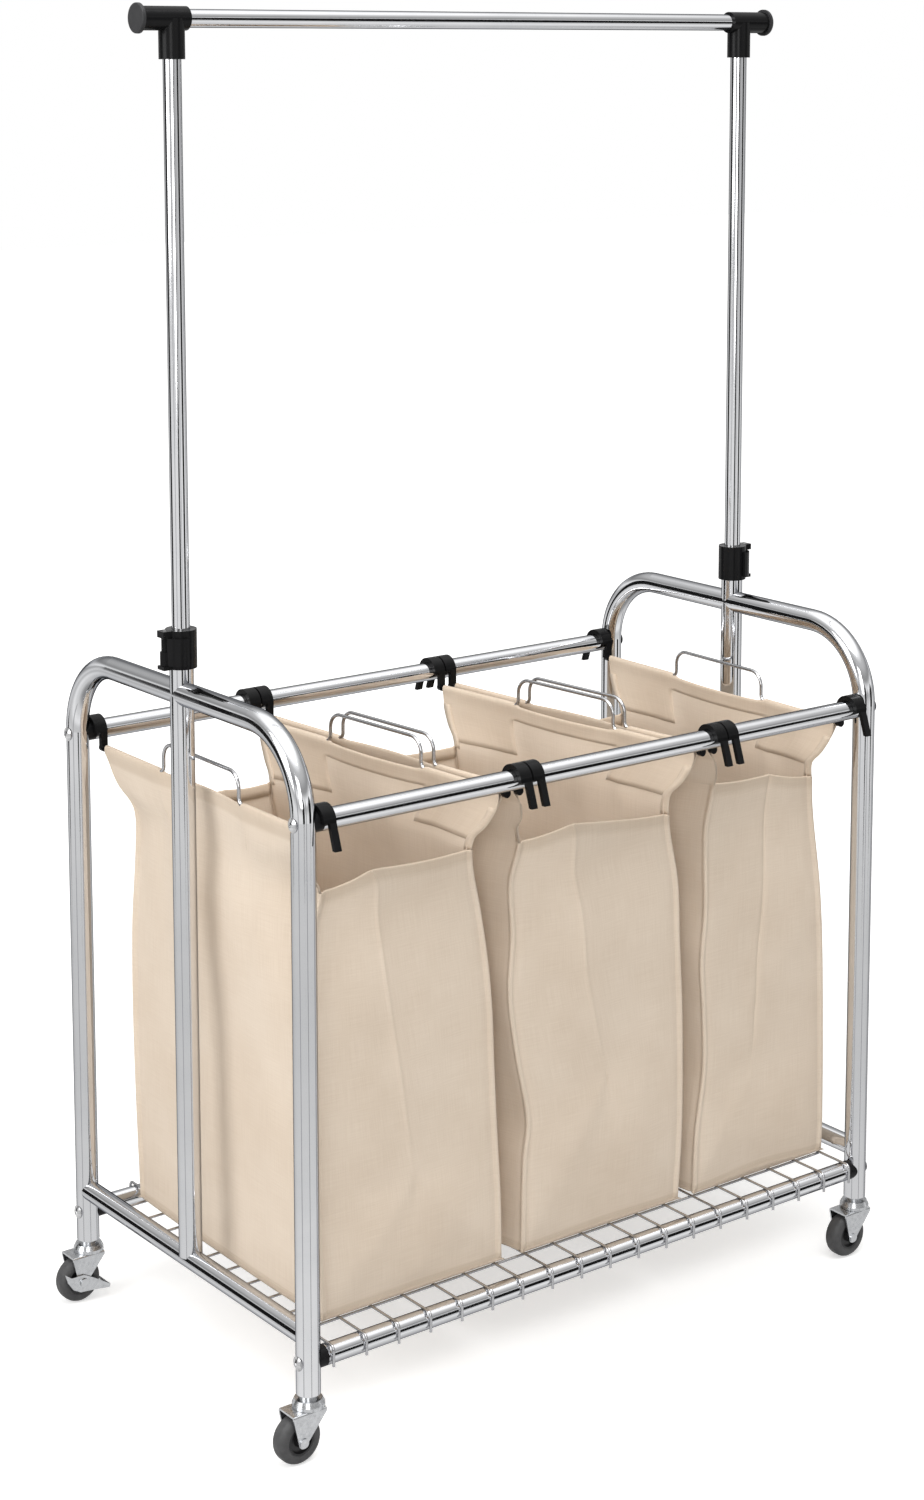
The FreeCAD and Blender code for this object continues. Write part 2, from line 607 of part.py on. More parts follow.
def leg_insert(side, end):
    """Plug in a leg's foot that the caster's stem is pressed into."""
    foot = Vec(side * LEG_X, end * LEG_Y, FOOT_Z + FIT)
    top = foot + Vec(0, 0, INSERT_LENGTH)
    return ring(TUBE_R - TUBE_WALL - FIT, STEM_R + FIT, foot, top)


def axle_place(side, end):
    return Vec(side * LEG_X - TRAIL, end * LEG_Y, WHEEL_R)


def fork(side, end):
    """Bent sheet: a plate under the race and two cheeks that taper to the axle."""
    leg_x = side * LEG_X
    y = end * LEG_Y
    outside = FORK_INSIDE + FORK_SHEET
    top = FORK_PLATE_Z + FORK_SHEET
    back = leg_x - FORK_BACK
    front = leg_x + FORK_FRONT
    axle = axle_place(side, end)
    outline = [(back, top), (front, top), (front, FORK_PLATE_Z - FORK_SHEET)]
    outline += [(axle.x + FORK_TIP_R, axle.z), (axle.x - FORK_TIP_R, axle.z)]
    outline += [(back, FORK_PLATE_Z - FORK_SHEET)]
    cheek = prism([Vec(px, y - outside, pz) for px, pz in outline], Vec(0, 2 * outside, 0))
    tip = cylinder(FORK_TIP_R, axle - Y_AXIS * outside, axle + Y_AXIS * outside)
    solid = cheek.fuse(tip).removeSplitter()
    inside = (y - FORK_INSIDE, y + FORK_INSIDE)
    solid = solid.cut(box((back - 1, front + 1), inside, (0, FORK_PLATE_Z)))
    long_edges = []
    for edge in solid.Edges:
        size = edge.BoundBox
        if size.XLength > FORK_BACK and size.ZMin > top - 0.01 and size.YLength < 0.01:
            long_edges.append(edge)
    solid = solid.makeFillet(FORK_BEND_R, long_edges)
    centre = Vec(leg_x, y, 0)
    solid = solid.cut(cylinder(KINGPIN_R + RUNNING, centre, centre + Z_AXIS * (top + 1)))
    reach = Y_AXIS * (outside + 1)
    return solid.cut(cylinder(AXLE_R + FIT, axle - reach, axle + reach))


def axle(side, end, lever_room):
    """Riveted axle; lever_room is the brake lever's space under the front head."""
    centre = axle_place(side, end)
    rear = FORK_INSIDE + FORK_SHEET + FIT
    front = rear + lever_room
    solid = cylinder(AXLE_R, centre - Y_AXIS * front, centre + Y_AXIS * rear)
    solid = solid.fuse(cylinder(AXLE_HEAD_R, centre - Y_AXIS * (front + AXLE_HEAD), centre - Y_AXIS * front))
    return solid.fuse(cylinder(AXLE_HEAD_R, centre + Y_AXIS * rear, centre + Y_AXIS * (rear + AXLE_HEAD)))


def wheel_solid(half_outline, side, end):
    """Turn a (radius, offset) outline about the axle; it is mirrored to both halves."""
    outline = half_outline + [(radius, -offset) for radius, offset in reversed(half_outline)]
    solid = turned(outline, Vec(0, 0, 0))
    solid.rotate(Vec(0, 0, 0), X_AXIS, 90)
    solid.translate(axle_place(side, end))
    return solid


def hub(side, end):
    bore = AXLE_R + RUNNING
    rim_r = HUB_R - HUB_RIM
    web_half = HUB_HALF_WIDTH - HUB_DISH
    outline = [(bore, HUB_BOSS_HALF), (HUB_BOSS_R, HUB_BOSS_HALF), (HUB_BOSS_R + HUB_SLOPE, web_half)]
    outline += [(rim_r - HUB_SLOPE, web_half), (rim_r, HUB_HALF_WIDTH), (HUB_R, HUB_HALF_WIDTH)]
    return wheel_solid(outline, side, end)


def tyre(side, end):
    """Tyre with rounded shoulders, worked out as a few points of each shoulder's arc."""
    bore = HUB_R + FIT
    shoulder_r = TYRE_SHOULDER_R
    outline = [(bore, HUB_HALF_WIDTH), (bore + TYRE_BEAD, TYRE_HALF_WIDTH)]
    for i in range(TYRE_SHOULDER_STEPS + 1):
        angle = math.pi / 2 * i / TYRE_SHOULDER_STEPS
        radius = WHEEL_R - shoulder_r + shoulder_r * math.sin(angle)
        offset = TYRE_HALF_WIDTH - shoulder_r + shoulder_r * math.cos(angle)
        outline.append((radius, offset))
    return wheel_solid(outline, side, end)


def brake_lever(side, end):
    """Pressed lever that turns on the axle, with a foot pad across the wheel's tread."""
    centre = axle_place(side, end)
    face = FORK_INSIDE + FORK_SHEET + REST_GAP
    start = centre - Y_AXIS * (face + BRAKE_SHEET)
    leaf = prism([start + Vec(px, 0, pz) for px, pz in BRAKE_LEAF], Y_AXIS * BRAKE_SHEET)
    leaf = leaf.fuse(cylinder(BRAKE_HUB_R, start, start + Y_AXIS * BRAKE_SHEET))
    pad_depth = Y_AXIS * (face + BRAKE_SHEET + BRAKE_PAD_HALF)
    pad = prism([start + Vec(px, 0, pz) for px, pz in BRAKE_PAD], pad_depth)
    solid = leaf.fuse(pad)
    reach = Y_AXIS * (face + BRAKE_SHEET + 1)
    return solid.cut(cylinder(AXLE_R + RUNNING, centre - reach, centre)).removeSplitter()


# ---- Write every node ----
def main():
    os.makedirs("parts", exist_ok=True)
    for side_name, side in SIDES:
        for end_name, end in ENDS:
            save("leg_" + end_name + "_" + side_name, leg(side, end))
        save("post_" + side_name, post(side))
        save("cross_tube_" + side_name, cross_tube(side))
        save("clamp_collar_" + side_name, clamp_collar(side))
        save("clamp_lever_" + side_name, clamp_lever(side))
        save("rack_tube_" + side_name, rack_tube(side))
        save("rack_tee_" + side_name, rack_tee(side))
    for end_name, end in ENDS:
        save("lower_rail_" + end_name, rail(end, LOWER_RAIL_Z))
        save("upper_rail_" + end_name, rail(end, UPPER_RAIL_Z))
    save("rail_spacers", [spacer(*place) for place in rail_ends()])
    save("rail_bolts", [bolt(*place) for place in rail_ends()])
    save("rail_nuts", [nut(*place) for place in rail_ends()])
    save("wire_shelf", wire_shelf())
    save("collar_bushes", [collar_bush(side) for _, side in SIDES])
    save("lever_pins", [lever_pin(side) for _, side in SIDES])
    save("hanging_bar", hanging_bar())
    save("bar_end_caps", [bar_end_cap(side) for _, side in SIDES])
    save("guide_bushes", [guide_bush(side) for _, side in SIDES])
    for bag, bag_name in enumerate(BAG_NAMES):
        save("bag_" + bag_name, laundry_bag(bag))
        save("bag_rods_" + bag_name, [rod(bag, edge, ROD_R) for edge in (-1, 1)])
        hooks = [hook(bag, edge, end) for edge in (-1, 1) for _, end in ENDS]
        save("bag_hooks_" + bag_name, hooks)
    corners = [(side, end) for _, side in SIDES for _, end in ENDS]
    save("leg_inserts", [leg_insert(side, end) for side, end in corners])
    save("caster_stems", [caster_stem(side, end) for side, end in corners])
    for side_name, side in SIDES:
        for end_name, end in ENDS:
            corner = end_name + "_" + side_name
            braked = end_name == "rear"
            lever_room = BRAKE_SHEET + 2 * REST_GAP if braked else 0.0
            save("fork_" + corner, fork(side, end))
            save("axle_" + corner, axle(side, end, lever_room))
            save("hub_" + corner, hub(side, end))
            save("tyre_" + corner, tyre(side, end))
            if braked:
                save("brake_lever_" + corner, brake_lever(side, end))


main()
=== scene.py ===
import math

import bpy
from mathutils import Euler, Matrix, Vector, noise


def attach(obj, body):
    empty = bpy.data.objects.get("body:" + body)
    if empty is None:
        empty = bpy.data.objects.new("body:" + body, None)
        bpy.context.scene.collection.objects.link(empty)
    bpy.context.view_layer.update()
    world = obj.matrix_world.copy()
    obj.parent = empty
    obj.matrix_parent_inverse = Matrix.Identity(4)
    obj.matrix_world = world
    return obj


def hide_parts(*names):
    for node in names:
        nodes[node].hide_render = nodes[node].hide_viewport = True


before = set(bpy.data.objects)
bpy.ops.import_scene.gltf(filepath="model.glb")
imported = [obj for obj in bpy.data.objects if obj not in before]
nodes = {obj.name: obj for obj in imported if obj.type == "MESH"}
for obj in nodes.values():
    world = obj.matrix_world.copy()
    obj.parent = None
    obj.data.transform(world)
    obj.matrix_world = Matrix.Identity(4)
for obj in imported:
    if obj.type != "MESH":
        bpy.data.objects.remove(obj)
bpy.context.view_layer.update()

bpy.ops.object.select_all(action="DESELECT")


# ---- Chrome tube frame ----
# Legs with their top bends, end posts, bottom cross tubes and rails are steel tube, bent or cut,
# welded and then bright chrome plated. Plating is mirror smooth, with faint haze from handling.
def new_material(name, colour, metallic=0.0):
    """A new material, its node tree and its Principled shader."""
    material = bpy.data.materials.new(name)
    material.use_nodes = True
    shader = material.node_tree.nodes["Principled BSDF"]
    shader.inputs["Base Color"].default_value = (*colour, 1)
    shader.inputs["Metallic"].default_value = metallic
    return material, material.node_tree, shader


def surface_group():
    """Smudges, fine grain and colour drift over a hard surface."""
    group = bpy.data.node_groups.new("surface_finish", "ShaderNodeTree")
    face = group.interface
    face.new_socket("Vector", in_out="INPUT", socket_type="NodeSocketVector")
    for name, value in (
        ("Smudge Scale", 20.0),
        ("Grain Scale", 900.0),
        ("Smooth", 0.1),
        ("Dull", 0.2),
    ):
        face.new_socket(name, in_out="INPUT", socket_type="NodeSocketFloat").default_value = value
    for name in ("Light", "Dark"):
        face.new_socket(name, in_out="INPUT", socket_type="NodeSocketColor")
    face.new_socket("Color", in_out="OUTPUT", socket_type="NodeSocketColor")
    face.new_socket("Roughness", in_out="OUTPUT", socket_type="NodeSocketFloat")
    face.new_socket("Height", in_out="OUTPUT", socket_type="NodeSocketFloat")
    add = group.nodes.new
    link = group.links.new
    start = add("NodeGroupInput")
    end = add("NodeGroupOutput")
    smudge = add("ShaderNodeTexNoise")
    smudge.inputs["Detail"].default_value = 4
    smudge.inputs["Roughness"].default_value = 0.6
    link(start.outputs["Vector"], smudge.inputs["Vector"])
    link(start.outputs["Smudge Scale"], smudge.inputs["Scale"])
    grain = add("ShaderNodeTexNoise")
    grain.inputs["Detail"].default_value = 2
    link(start.outputs["Vector"], grain.inputs["Vector"])
    link(start.outputs["Grain Scale"], grain.inputs["Scale"])
    spread = add("ShaderNodeMapRange")
    spread.inputs["From Min"].default_value = 0.35
    spread.inputs["From Max"].default_value = 0.7
    link(smudge.outputs["Fac"], spread.inputs["Value"])
    link(start.outputs["Smooth"], spread.inputs["To Min"])
    link(start.outputs["Dull"], spread.inputs["To Max"])
    link(spread.outputs["Result"], end.inputs["Roughness"])
    drift = add("ShaderNodeMix")
    drift.data_type = "RGBA"
    link(smudge.outputs["Fac"], drift.inputs["Factor"])
    link(start.outputs["Light"], drift.inputs["A"])
    link(start.outputs["Dark"], drift.inputs["B"])
    link(drift.outputs["Result"], end.inputs["Color"])
    link(grain.outputs["Fac"], end.inputs["Height"])
    return group


SURFACE = surface_group()


def finish_surface(tree, shader, light, dark, smooth, dull, smudge, grain, bump, depth):
    """Place the surface group in a material; depth is the grain's height in metres."""
    place = tree.nodes.new("ShaderNodeTexCoord")
    group = tree.nodes.new("ShaderNodeGroup")
    group.node_tree = SURFACE
    group.inputs["Smudge Scale"].default_value = smudge
    group.inputs["Grain Scale"].default_value = grain
    group.inputs["Smooth"].default_value = smooth
    group.inputs["Dull"].default_value = dull
    group.inputs["Light"].default_value = (*light, 1)
    group.inputs["Dark"].default_value = (*dark, 1)
    tree.links.new(place.outputs["Object"], group.inputs["Vector"])
    tree.links.new(group.outputs["Color"], shader.inputs["Base Color"])
    tree.links.new(group.outputs["Roughness"], shader.inputs["Roughness"])
    dent = tree.nodes.new("ShaderNodeBump")
    dent.inputs["Strength"].default_value = bump
    dent.inputs["Distance"].default_value = depth
    tree.links.new(group.outputs["Height"], dent.inputs["Height"])
    tree.links.new(dent.outputs["Normal"], shader.inputs["Normal"])


def coat(material, *names):
    for name in names:
        piece = nodes[name]
        piece.data.materials.clear()
        piece.data.materials.append(material)


chrome, tree, shader = new_material("bright_chrome", (0.8, 0.8, 0.81), 1.0)
shader.inputs["Specular Tint"].default_value = (0.25, 0.26, 0.28, 1)
finish_surface(tree, shader, (0.86, 0.86, 0.87), (0.70, 0.71, 0.73), 0.05, 0.13, 14, 700, 0.02, 0.0002)
SIDES = ("left", "right")
ENDS = ("front", "rear")
CORNERS = [f"{end}_{side}" for end in ENDS for side in SIDES]
coat(chrome, *[f"leg_{corner}" for corner in CORNERS])
coat(chrome, *[f"{kind}_{side}" for kind in ("post", "cross_tube") for side in SIDES])
coat(chrome, *[f"{level}_rail_{end}" for level in ("lower", "upper") for end in ENDS])


# ---- Rail spacers, bolts and nuts ----
# Each rail meets its leg in a moulded black nylon spacer. A dome-head socket bolt goes through
# the leg into a nut caught in the spacer's spigot; bolts and nuts are bright zinc-plated steel.
black_nylon, tree, shader = new_material("black_nylon", (0.01, 0.01, 0.011))
shader.inputs["Specular IOR Level"].default_value = 0.12
finish_surface(tree, shader, (0.014, 0.014, 0.015), (0.007, 0.007, 0.008), 0.22, 0.42, 60, 1400, 0.25, 0.0003)
coat(black_nylon, "rail_spacers", "leg_inserts")

bolt_steel, tree, shader = new_material("bolt_steel", (0.7, 0.7, 0.7), 1.0)
finish_surface(tree, shader, (0.78, 0.78, 0.78), (0.55, 0.55, 0.56), 0.12, 0.28, 160, 2500, 0.1, 0.0001)
coat(bolt_steel, "rail_bolts", "rail_nuts", "lever_pins")


# ---- Wire shelf ----
# Nineteen cross wires hook over the lower rails, and ten long wires are spot welded under them.
# Drawn steel wire, 3 mm thick, plated with the frame and a little greyer than it.
bright_wire, tree, shader = new_material("bright_wire", (0.62, 0.62, 0.63), 1.0)
shader.inputs["Specular Tint"].default_value = (0.3, 0.3, 0.31, 1)
finish_surface(tree, shader, (0.68, 0.68, 0.69), (0.45, 0.45, 0.46), 0.1, 0.24, 45, 1800, 0.05, 0.0001)
coat(bright_wire, "wire_shelf")


# ---- Casters ----
# A pressed zinc-plated fork turns under a stem pushed into the leg's plug. The wheel is a black
# hub with a dark grey rubber tyre, and the rear pair has a pressed brake lever on the axle.
zinc_sheet, tree, shader = new_material("zinc_sheet", (0.7, 0.7, 0.68), 1.0)
finish_surface(tree, shader, (0.74, 0.75, 0.76), (0.52, 0.53, 0.55), 0.16, 0.36, 240, 1500, 0.12, 0.0002)
coat(zinc_sheet, "caster_stems", "brake_lever_rear_left", "brake_lever_rear_right")
coat(zinc_sheet, *[f"{kind}_{corner}" for kind in ("fork", "axle") for corner in CORNERS])

hub_plastic, tree, shader = new_material("hub_plastic", (0.012, 0.012, 0.013))
finish_surface(tree, shader, (0.02, 0.02, 0.021), (0.009, 0.009, 0.01), 0.3, 0.5, 90, 1600, 0.2, 0.0002)
coat(hub_plastic, *[f"hub_{corner}" for corner in CORNERS])

tyre_rubber, tree, shader = new_material("tyre_rubber", (0.07, 0.07, 0.072))
finish_surface(tree, shader, (0.085, 0.085, 0.087), (0.05, 0.05, 0.052), 0.45, 0.72, 120, 2200, 0.4, 0.0003)
coat(tyre_rubber, *[f"tyre_{corner}" for corner in CORNERS])


# ---- Clamp collars and levers ----
# Glossy black moulded collars on the posts' tops, each with a cam lever on a steel pin that
# grips the rack tube. Inside each is a plain bush ring.
gloss_black, tree, shader = new_material("gloss_black", (0.008, 0.008, 0.009))
shader.inputs["Specular IOR Level"].default_value = 0.12
finish_surface(tree, shader, (0.01, 0.01, 0.011), (0.006, 0.006, 0.006), 0.12, 0.3, 50, 1200, 0.15, 0.0002)
coat(gloss_black, "collar_bushes")
coat(gloss_black, *[f"clamp_{kind}_{side}" for kind in ("collar", "lever") for side in SIDES])


# ---- Sliding rack ----
# Two thinner chrome tubes slide in the posts and carry the hanging bar in black tees, with a
# dished grey-black cap on each end of the bar. Their feet have plastic guide bushes.
coat(chrome, "hanging_bar", "rack_tube_left", "rack_tube_right")
coat(gloss_black, "rack_tee_left", "rack_tee_right", "guide_bushes")

cap_plastic, tree, shader = new_material("cap_plastic", (0.02, 0.02, 0.021))
shader.inputs["Specular IOR Level"].default_value = 0.2
finish_surface(tree, shader, (0.05, 0.05, 0.052), (0.025, 0.025, 0.027), 0.28, 0.45, 80, 1500, 0.25, 0.0002)
coat(cap_plastic, "bar_end_caps")


# ---- Bag rods and hooks ----
# Each bag hangs from two bright wire rods with a raised handle. The rods' ends sit in black
# moulded hooks that drop over the upper rails.
BAGS = ("left", "middle", "right")
coat(bright_wire, *[f"bag_rods_{bag}" for bag in BAGS])
coat(gloss_black, *[f"bag_hooks_{bag}" for bag in BAGS])


# ---- Laundry bags ----
# Unbleached cotton canvas: four panels and a floor, seamed at the corners and hemmed. The side
# panels' hems are sewn round the rods, and the lower front and rear edges hang between them.
def weave_group():
    """Plain weave with slubs: colour and height from a flat pattern in metres."""
    group = bpy.data.node_groups.new("canvas_weave", "ShaderNodeTree")
    face = group.interface
    face.new_socket("Vector", in_out="INPUT", socket_type="NodeSocketVector")
    face.new_socket("Threads", in_out="INPUT", socket_type="NodeSocketFloat").default_value = 1100
    face.new_socket("Light", in_out="INPUT", socket_type="NodeSocketColor")
    face.new_socket("Dark", in_out="INPUT", socket_type="NodeSocketColor")
    face.new_socket("Color", in_out="OUTPUT", socket_type="NodeSocketColor")
    face.new_socket("Height", in_out="OUTPUT", socket_type="NodeSocketFloat")
    add = group.nodes.new
    link = group.links.new
    start = add("NodeGroupInput")
    end = add("NodeGroupOutput")

    def math_node(kind, first, second=None):
        node = add("ShaderNodeMath")
        node.operation = kind
        for socket, value in zip(node.inputs, (first, second)):
            if isinstance(value, (int, float)):
                socket.default_value = value
            elif value is not None:
                link(value, socket)
        return node.outputs[0]

    def slub(stretch):
        mapping = add("ShaderNodeMapping")
        mapping.inputs["Scale"].default_value = stretch
        link(start.outputs["Vector"], mapping.inputs["Vector"])
        threads = add("ShaderNodeTexNoise")
        threads.inputs["Scale"].default_value = 1
        threads.inputs["Detail"].default_value = 3
        link(mapping.outputs["Vector"], threads.inputs["Vector"])
        return threads.outputs["Fac"]

    split = add("ShaderNodeSeparateXYZ")
    link(start.outputs["Vector"], split.inputs["Vector"])
    across = math_node("MULTIPLY", split.outputs["X"], start.outputs["Threads"])
    along = math_node("MULTIPLY", split.outputs["Y"], start.outputs["Threads"])
    warp = math_node("SINE", math_node("MULTIPLY", across, math.pi))
    weft = math_node("SINE", math_node("MULTIPLY", along, math.pi))
    over = math_node("MULTIPLY", warp, weft)
    slubs = math_node("ADD", slub((24, 900, 1)), slub((900, 24, 1)))
    height = math_node("ADD", math_node("MULTIPLY", over, 0.5), slubs)
    link(height, end.inputs["Height"])
    cloud = slub((9, 9, 1))
    tone = math_node("ADD", math_node("MULTIPLY", slubs, 0.55), math_node("MULTIPLY", cloud, 0.9))
    ramp = add("ShaderNodeMapRange")
    ramp.inputs["From Min"].default_value = 0.75
    ramp.inputs["From Max"].default_value = 1.25
    link(tone, ramp.inputs["Value"])
    mix = add("ShaderNodeMix")
    mix.data_type = "RGBA"
    link(ramp.outputs["Result"], mix.inputs["Factor"])
    link(start.outputs["Dark"], mix.inputs["A"])
    link(start.outputs["Light"], mix.inputs["B"])
    link(mix.outputs["Result"], end.inputs["Color"])
    return group


canvas, tree, shader = new_material("unbleached_canvas", (0.76, 0.65, 0.53))
shader.inputs["Roughness"].default_value = 0.88
shader.inputs["Specular IOR Level"].default_value = 0.25
shader.inputs["Sheen Weight"].default_value = 0.15
shader.inputs["Sheen Roughness"].default_value = 0.5
flat_place = tree.nodes.new("ShaderNodeUVMap")
flat_place.uv_map = "cut"
weave = tree.nodes.new("ShaderNodeGroup")
weave.node_tree = weave_group()
weave.inputs["Light"].default_value = (0.83, 0.71, 0.585, 1)
weave.inputs["Dark"].default_value = (0.74, 0.615, 0.49, 1)
tree.links.new(flat_place.outputs["UV"], weave.inputs["Vector"])
# Painted shade: the canvas colour is multiplied by a darker beige wherever the mask is set (hem bands, foot
# seams, rod hems, pockets, folded ears, the floor's edge). It stands in for the shadow under the top hem's
# rim and is not a colour of the cloth.
doubled_painted_shade = tree.nodes.new("ShaderNodeAttribute")
doubled_painted_shade.attribute_name = "doubled_painted_shade"
shade = tree.nodes.new("ShaderNodeMix")
shade.data_type = "RGBA"
shade.blend_type = "MULTIPLY"
shade.inputs["B"].default_value = (0.90, 0.88, 0.855, 1)
tree.links.new(doubled_painted_shade.outputs["Fac"], shade.inputs["Factor"])
tree.links.new(weave.outputs["Color"], shade.inputs["A"])
tree.links.new(shade.outputs["Result"], shader.inputs["Base Color"])
dent = tree.nodes.new("ShaderNodeBump")
dent.inputs["Strength"].default_value = 0.35
dent.inputs["Distance"].default_value = 0.00025
tree.links.new(weave.outputs["Height"], dent.inputs["Height"])
tree.links.new(dent.outputs["Normal"], shader.inputs["Normal"])

thread, tree, shader = new_material("sewing_thread", (0.74, 0.64, 0.52))
finish_surface(tree, shader, (0.82, 0.73, 0.61), (0.60, 0.50, 0.38), 0.6, 0.8, 400, 3000, 0.3, 0.0001)

MM = 0.001
FOOT_Z = 118.8
ROD_Z = 645.0
HEM_FOOT_Z = 627.0
ROD_SPAN = 214.0
HANDLE_HALF = 80.0
# height, and half the bag's depth there
DEPTHS = (
    (FOOT_Z, 187), (260, 184), (430, 178), (530, 168), (565, 168),
    (590, 173), (606, 189), (626, 201), (ROD_Z, 205),
)
# rods' front and rear places along X, and how far the foot's edge stands from each
RODS = {
    "left": ((-372.5, -365.5, 24.0), (-125.5, -161.5, 16.0)),
    "middle": ((-108.5, -144.5, 15.0), (150.0, 105.5, -10.0)),
    "right": ((167.0, 122.5, -2.0), (365.5, 372.5, 3.0)),
}
# height, and how far the corner seam is drawn in from the side panel's plane
SEAMS = {
    "left": {
        "front_left": (
            (FOOT_Z, 3), (200, 2), (330, 6), (450, 12), (530, 26),
            (567, 37), (590, 24), (615, 6), (ROD_Z, 0),
        ),
        "front_right": (
            (FOOT_Z, 3), (185, 1), (262, 2), (338, 2), (412, 1),
            (510, 5), (574, 13), (600, 9), (ROD_Z, 0),
        ),
        "rear_right": ((FOOT_Z, 4), (240, 4), (400, 5), (520, 9), (580, 16), (610, 6), (ROD_Z, 0)),
        "rear_left": ((FOOT_Z, 2), (300, 3), (450, 7), (540, 12), (577, 14), (605, 4), (ROD_Z, 0)),
    },
    "middle": {
        "front_left": (
            (FOOT_Z, 13), (221, 20), (265, 27), (345, 15), (413, 10),
            (474, 20), (529, 24), (573, 37), (600, 24), (ROD_Z, 0),
        ),
        "front_right": (
            (FOOT_Z, -3), (192, -8), (258, -9), (342, -8), (427, -5),
            (492, -6), (565, 5), (600, 6), (ROD_Z, 0),
        ),
        "rear_right": ((FOOT_Z, 2), (240, 0), (400, 2), (520, 6), (580, 14), (610, 6), (ROD_Z, 0)),
        "rear_left": ((FOOT_Z, 2), (300, 2), (450, 8), (540, 14), (577, 18), (605, 6), (ROD_Z, 0)),
    },
    "right": {
        "front_left": (
            (FOOT_Z, 6), (187, 10), (264, 22), (330, 22), (386, 20),
            (445, 28), (534, 36), (588, 43), (606, 28), (ROD_Z, 0),
        ),
        "front_right": (
            (FOOT_Z, 1), (145, -1), (276, -3), (383, -3), (450, -1),
            (513, 2), (572, 5), (600, 8), (ROD_Z, 0),
        ),
        "rear_right": ((FOOT_Z, 4), (240, 4), (400, 6), (520, 8), (580, 12), (610, 6), (ROD_Z, 0)),
        "rear_left": ((FOOT_Z, 0), (300, 2), (450, 6), (540, 10), (577, 16), (605, 6), (ROD_Z, 0)),
    },
}
# front and rear top edges: height at the left seam, the crease's share of the width and height
# there, and height at the right seam; then how far the crease stands out
TOPS = {
    "left": {"front": (566, 0.31, 583, 576, 13.0), "rear": (577, 0.62, 584, 580, -8.0)},
    "middle": {"front": (572, 0.30, 585, 565, 13.0), "rear": (577, 0.45, 586, 580, -7.0)},
    "right": {"front": (590, 0.62, 583, 572, -6.0), "rear": (577, 0.5, 582, 580, -7.0)},
}
# height and share of the width of the point where the front crease parts into two
PARTINGS = {"left": (240, 0.53), "middle": (290, 0.50), "right": (250, 0.40)}
# a crease's rim: how high and how wide, and the columns of the cloth beside it
FOLD_RIM = 1.5
FOLD_WIDTH = 2.4
CREASE_COLUMNS = (-7.5, -4.2, -2.2, -1, 0, 1, 2.2, 4.2, 7.5)
# share of the width beside each corner seam that a crease doesn't reach
SEAM_MARGIN = 0.07
# how far the front and rear panels' bottom edges are drawn up off the wires
LIFTS = {"left": 1.0, "middle": 1.5, "right": 5.5}


def curve(points, at):
    """A smooth line through (place, value) pairs."""
    if at <= points[0][0]:
        return points[0][1]
    if at >= points[-1][0]:
        return points[-1][1]
    i = max(k for k in range(len(points) - 1) if points[k][0] <= at)
    (x0, y0), (x1, y1) = points[i], points[i + 1]
    before = points[max(0, i - 1)]
    after = points[min(len(points) - 1, i + 2)]
    slope0 = (y1 - before[1]) / (x1 - before[0])
    slope1 = (after[1] - y0) / (after[0] - x0)
    t = (at - x0) / (x1 - x0)
    width = x1 - x0
    return (
        (2 * t**3 - 3 * t**2 + 1) * y0
        + (t**3 - 2 * t**2 + t) * width * slope0
        + (3 * t**2 - 2 * t**3) * y1
        + (t**3 - t**2) * width * slope1
    )


def ease(t):
    t = min(1.0, max(0.0, t))
    return t * t * (3 - 2 * t)


def side_plane(bag, edge, y, z):
    """Where a side panel would be if it hung flat."""
    front, rear, shift = RODS[bag][edge]
    drop = min(1.0, max(0.0, (ROD_Z - z) / (ROD_Z - FOOT_Z)))
    return front + (rear - front) * (y + ROD_SPAN) / (2 * ROD_SPAN) + shift * drop


def seam(bag, end, edge, z):
    """The corner seam's place at a height."""
    sign = -1 if end == "front" else 1
    y = sign * curve(DEPTHS, z)
    drawn = curve(SEAMS[bag][f"{end}_{SIDES[edge]}"], z)
    return side_plane(bag, edge, y, z) + (drawn if edge == 0 else -drawn), y


def ripple(bag, x, y, z, size, seed):
    where = Vector((x / size, y / size, z / (1.6 * size))) + Vector((seed * 7.3, BAGS.index(bag) * 11.1, 0))
    return noise.noise(where)


# under each handle's foot the side panel hangs in a soft fold: place, width, depth, reach down
FOLDS = (
    (-88, 13, 5.5, 190), (-34, 22, 3.5, 330), (46, 20, -3.5, 260),
    (92, 14, 5.0, 210), (-150, 18, -3, 300), (150, 20, -3, 240),
)
# the corner seam's rim and the groove beside it: how far in from the corner each ends, and how high
RIM_END = 3.2
RIM_HEIGHT = 1.9
GROOVE_END = 8
GROOVE_DEPTH = 1.0
# how far in from a corner its seam still draws the side panel
DRAWN_REACH = 62
# middle of a side panel's outward hang, and the slack between a handle's feet
BELLY = 3.5
HANDLE_SLACK = 7.5


def piping(gap, z):
    """The corner seam's rounded rim and the groove of its stitches; gap is the way in from the corner."""
    if gap >= GROOVE_END:
        return 0.0
    if gap < RIM_END:
        rise = RIM_HEIGHT * math.sqrt(max(0.0, 1 - (gap / RIM_END) ** 2))
    else:
        rise = -GROOVE_DEPTH * math.sin(math.pi * (gap - RIM_END) / (GROOVE_END - RIM_END))
    return rise * ease((600 - z) / 25)


